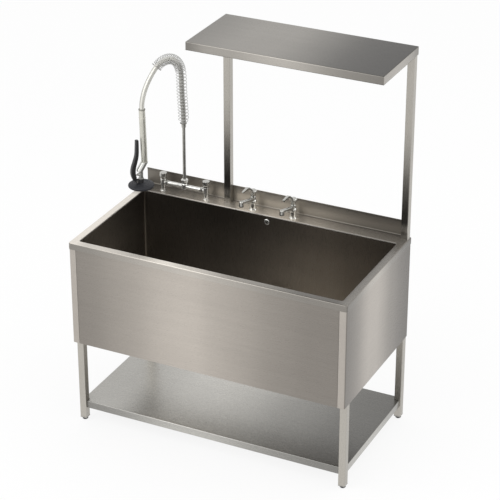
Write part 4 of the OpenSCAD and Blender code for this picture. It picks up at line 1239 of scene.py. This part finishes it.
squareTubes = ["front_left_leg", "front_right_leg", "rear_left_leg", "rear_right_leg", "left_post",
               "right_post"]
nodeFinish = [
    (frontSteel, ["front_panel"]),
    (sideSteel, ["left_side_panel", "right_side_panel"]),
    (tubeSteel, squareTubes),
    (hiddenSteel, ["front_rail", "bowl_rail", "rear_rail", "side_rails", "inner_upright", "leg_inserts",
                   "undershelf_stiffeners", "post_spigots", "left_shelf_arm", "right_shelf_arm",
                   "shelf_stiffener", "spring_end_ring", "lever_pin", "valve_plunger", "spray_face"]),
    (riserChrome, ["riser_pipe", "hose_swivel"]),
    (chrome, ["mixer_body", "mixer_backnuts", "riser_nut", "tap_backnuts", "overflow_rose", "waste_flange"]),
    (tapChrome, ["left_tap_body", "right_tap_body", "left_tap_lever", "right_tap_lever", "tap_aerators",
                 "mixer_knob_left", "mixer_knob_right"]),
    (gunChrome, ["spray_body"]),
    (gripSleeve, ["spray_grip"]),
    (ferruleSleeve, ["hose_ferrule"]),
    (blackPlastic, ["foot_front_left", "foot_front_right", "foot_rear_left", "foot_rear_right",
                    "lever_bracket", "spray_lever"]),
    (whitePlastic, ["overflow_pipe", "waste_body", "waste_nut"]),
    (roseRubber, ["spray_rose"]),
    (bowlSteel, ["basin"]),
    (rimSteel, ["top_sheet"]),
    (upstandSteel, ["rear_upstand"]),
    (overheadSteel, ["overhead_shelf"]),
    (undershelfSteel, ["undershelf"]),
    (springMaterial, ["hose_spring"]),
    (hoseMaterial, ["spray_hose"]),
]

for material, names in nodeFinish:
    for name in names:
        mesh = cadNodes[name].data
        mesh.materials.clear()
        mesh.materials.append(material)


# tubes and cast handles get their edges rounded

roundedEdges = {
    "weldDistance": 0.00002,
    "segments": 3,
    "fromAngle": 50,
    "widths": [
        (0.0016, squareTubes),
        (0.0010, ["left_tap_lever", "right_tap_lever", "lever_bracket"]),
    ],
}


def roundEdges(node, width, settings):
    weld = node.modifiers.new("joinCorners", "WELD")
    weld.merge_threshold = settings["weldDistance"]
    bevel = node.modifiers.new("roundEdges", "BEVEL")
    bevel.width = width
    bevel.segments = settings["segments"]
    bevel.limit_method = "ANGLE"
    bevel.angle_limit = math.radians(settings["fromAngle"])
    bevel.use_clamp_overlap = True
    bevel.harden_normals = True


for width, names in roundedEdges["widths"]:
    for name in names:
        roundEdges(cadNodes[name], width, roundedEdges)
print("nodes finished")


# studio: pale floor, white surroundings, soft lamps

studio = {
    "floorHalf": 9.0,
    "floorColour": (0.90, 0.90, 0.90),
    "floorRough": 0.9,
    "floorGlow": 0.87,
    "surroundLight": 0.90,
    "lamps": [
        ("frontLamp", (-2.6, -4.2, 4.0), 6.0, 120),
        ("sideLamp", (4.2, 1.0, 3.0), 4.8, 60),
    ],
    "lampAim": (0, 0, 0.8),
}


def whiteForEye(tree):
    # one where the camera, gloss or glass looks, so that metal shows the pale surroundings too
    path = addNode(tree, "ShaderNodeLightPath")
    first = addNode(tree, "ShaderNodeMath", operation="MAXIMUM")
    second = addNode(tree, "ShaderNodeMath", operation="MAXIMUM")
    tree.links.new(path.outputs["Is Camera Ray"], first.inputs[0])
    tree.links.new(path.outputs["Is Glossy Ray"], first.inputs[1])
    tree.links.new(first.outputs["Value"], second.inputs[0])
    tree.links.new(path.outputs["Is Transmission Ray"], second.inputs[1])
    return second.outputs["Value"]


def mixShaders(tree, first, second, share, output):
    mix = addNode(tree, "ShaderNodeMixShader")
    tree.links.new(share, mix.inputs["Fac"])
    tree.links.new(first, mix.inputs[1])
    tree.links.new(second, mix.inputs[2])
    tree.links.new(mix.outputs["Shader"], tree.nodes[output].inputs["Surface"])


def makeWorld(settings):
    world = bpy.data.worlds.new("paleSurround")
    world.use_nodes = True
    tree = world.node_tree
    lit = tree.nodes["Background"]
    lit.inputs["Color"].default_value = (1, 1, 1, 1)
    lit.inputs["Strength"].default_value = settings["surroundLight"]
    seen = addNode(tree, "ShaderNodeBackground")
    seen.inputs["Color"].default_value = (1, 1, 1, 1)
    seen.inputs["Strength"].default_value = 1.0
    mixShaders(tree, lit.outputs["Background"], seen.outputs["Background"], whiteForEye(tree), "World Output")
    scene.world = world


def makeFloor(settings):
    half = settings["floorHalf"]
    mesh = bpy.data.meshes.new("studioFloor")
    corners = [(-half, -half, 0), (half, -half, 0), (half, half, 0), (-half, half, 0)]
    mesh.from_pydata(corners, [], [(0, 1, 2, 3)])
    material, tree, shader = startMaterial("paleFloor")
    shader.inputs["Base Color"].default_value = (*settings["floorColour"], 1)
    shader.inputs["Roughness"].default_value = settings["floorRough"]
    glow = addNode(tree, "ShaderNodeEmission")
    glow.inputs["Color"].default_value = (1, 1, 1, 1)
    share = multiplyValue(tree, whiteForEye(tree), settings["floorGlow"])
    mixShaders(tree, shader.outputs["BSDF"], glow.outputs["Emission"], share, "Material Output")
    mesh.materials.append(material)
    addObject("studioFloor", mesh)


def makeLamp(name, place, size, power, target):
    light = bpy.data.lights.new(name, "AREA")
    light.shape = "DISK"
    light.size = size
    light.energy = power
    aimAt(addObject(name, light), place, target)


makeWorld(studio)
makeFloor(studio)
for lampSettings in studio["lamps"]:
    makeLamp(*lampSettings, studio["lampAim"])
scene.view_settings.view_transform = "Standard"
print("studio lit")
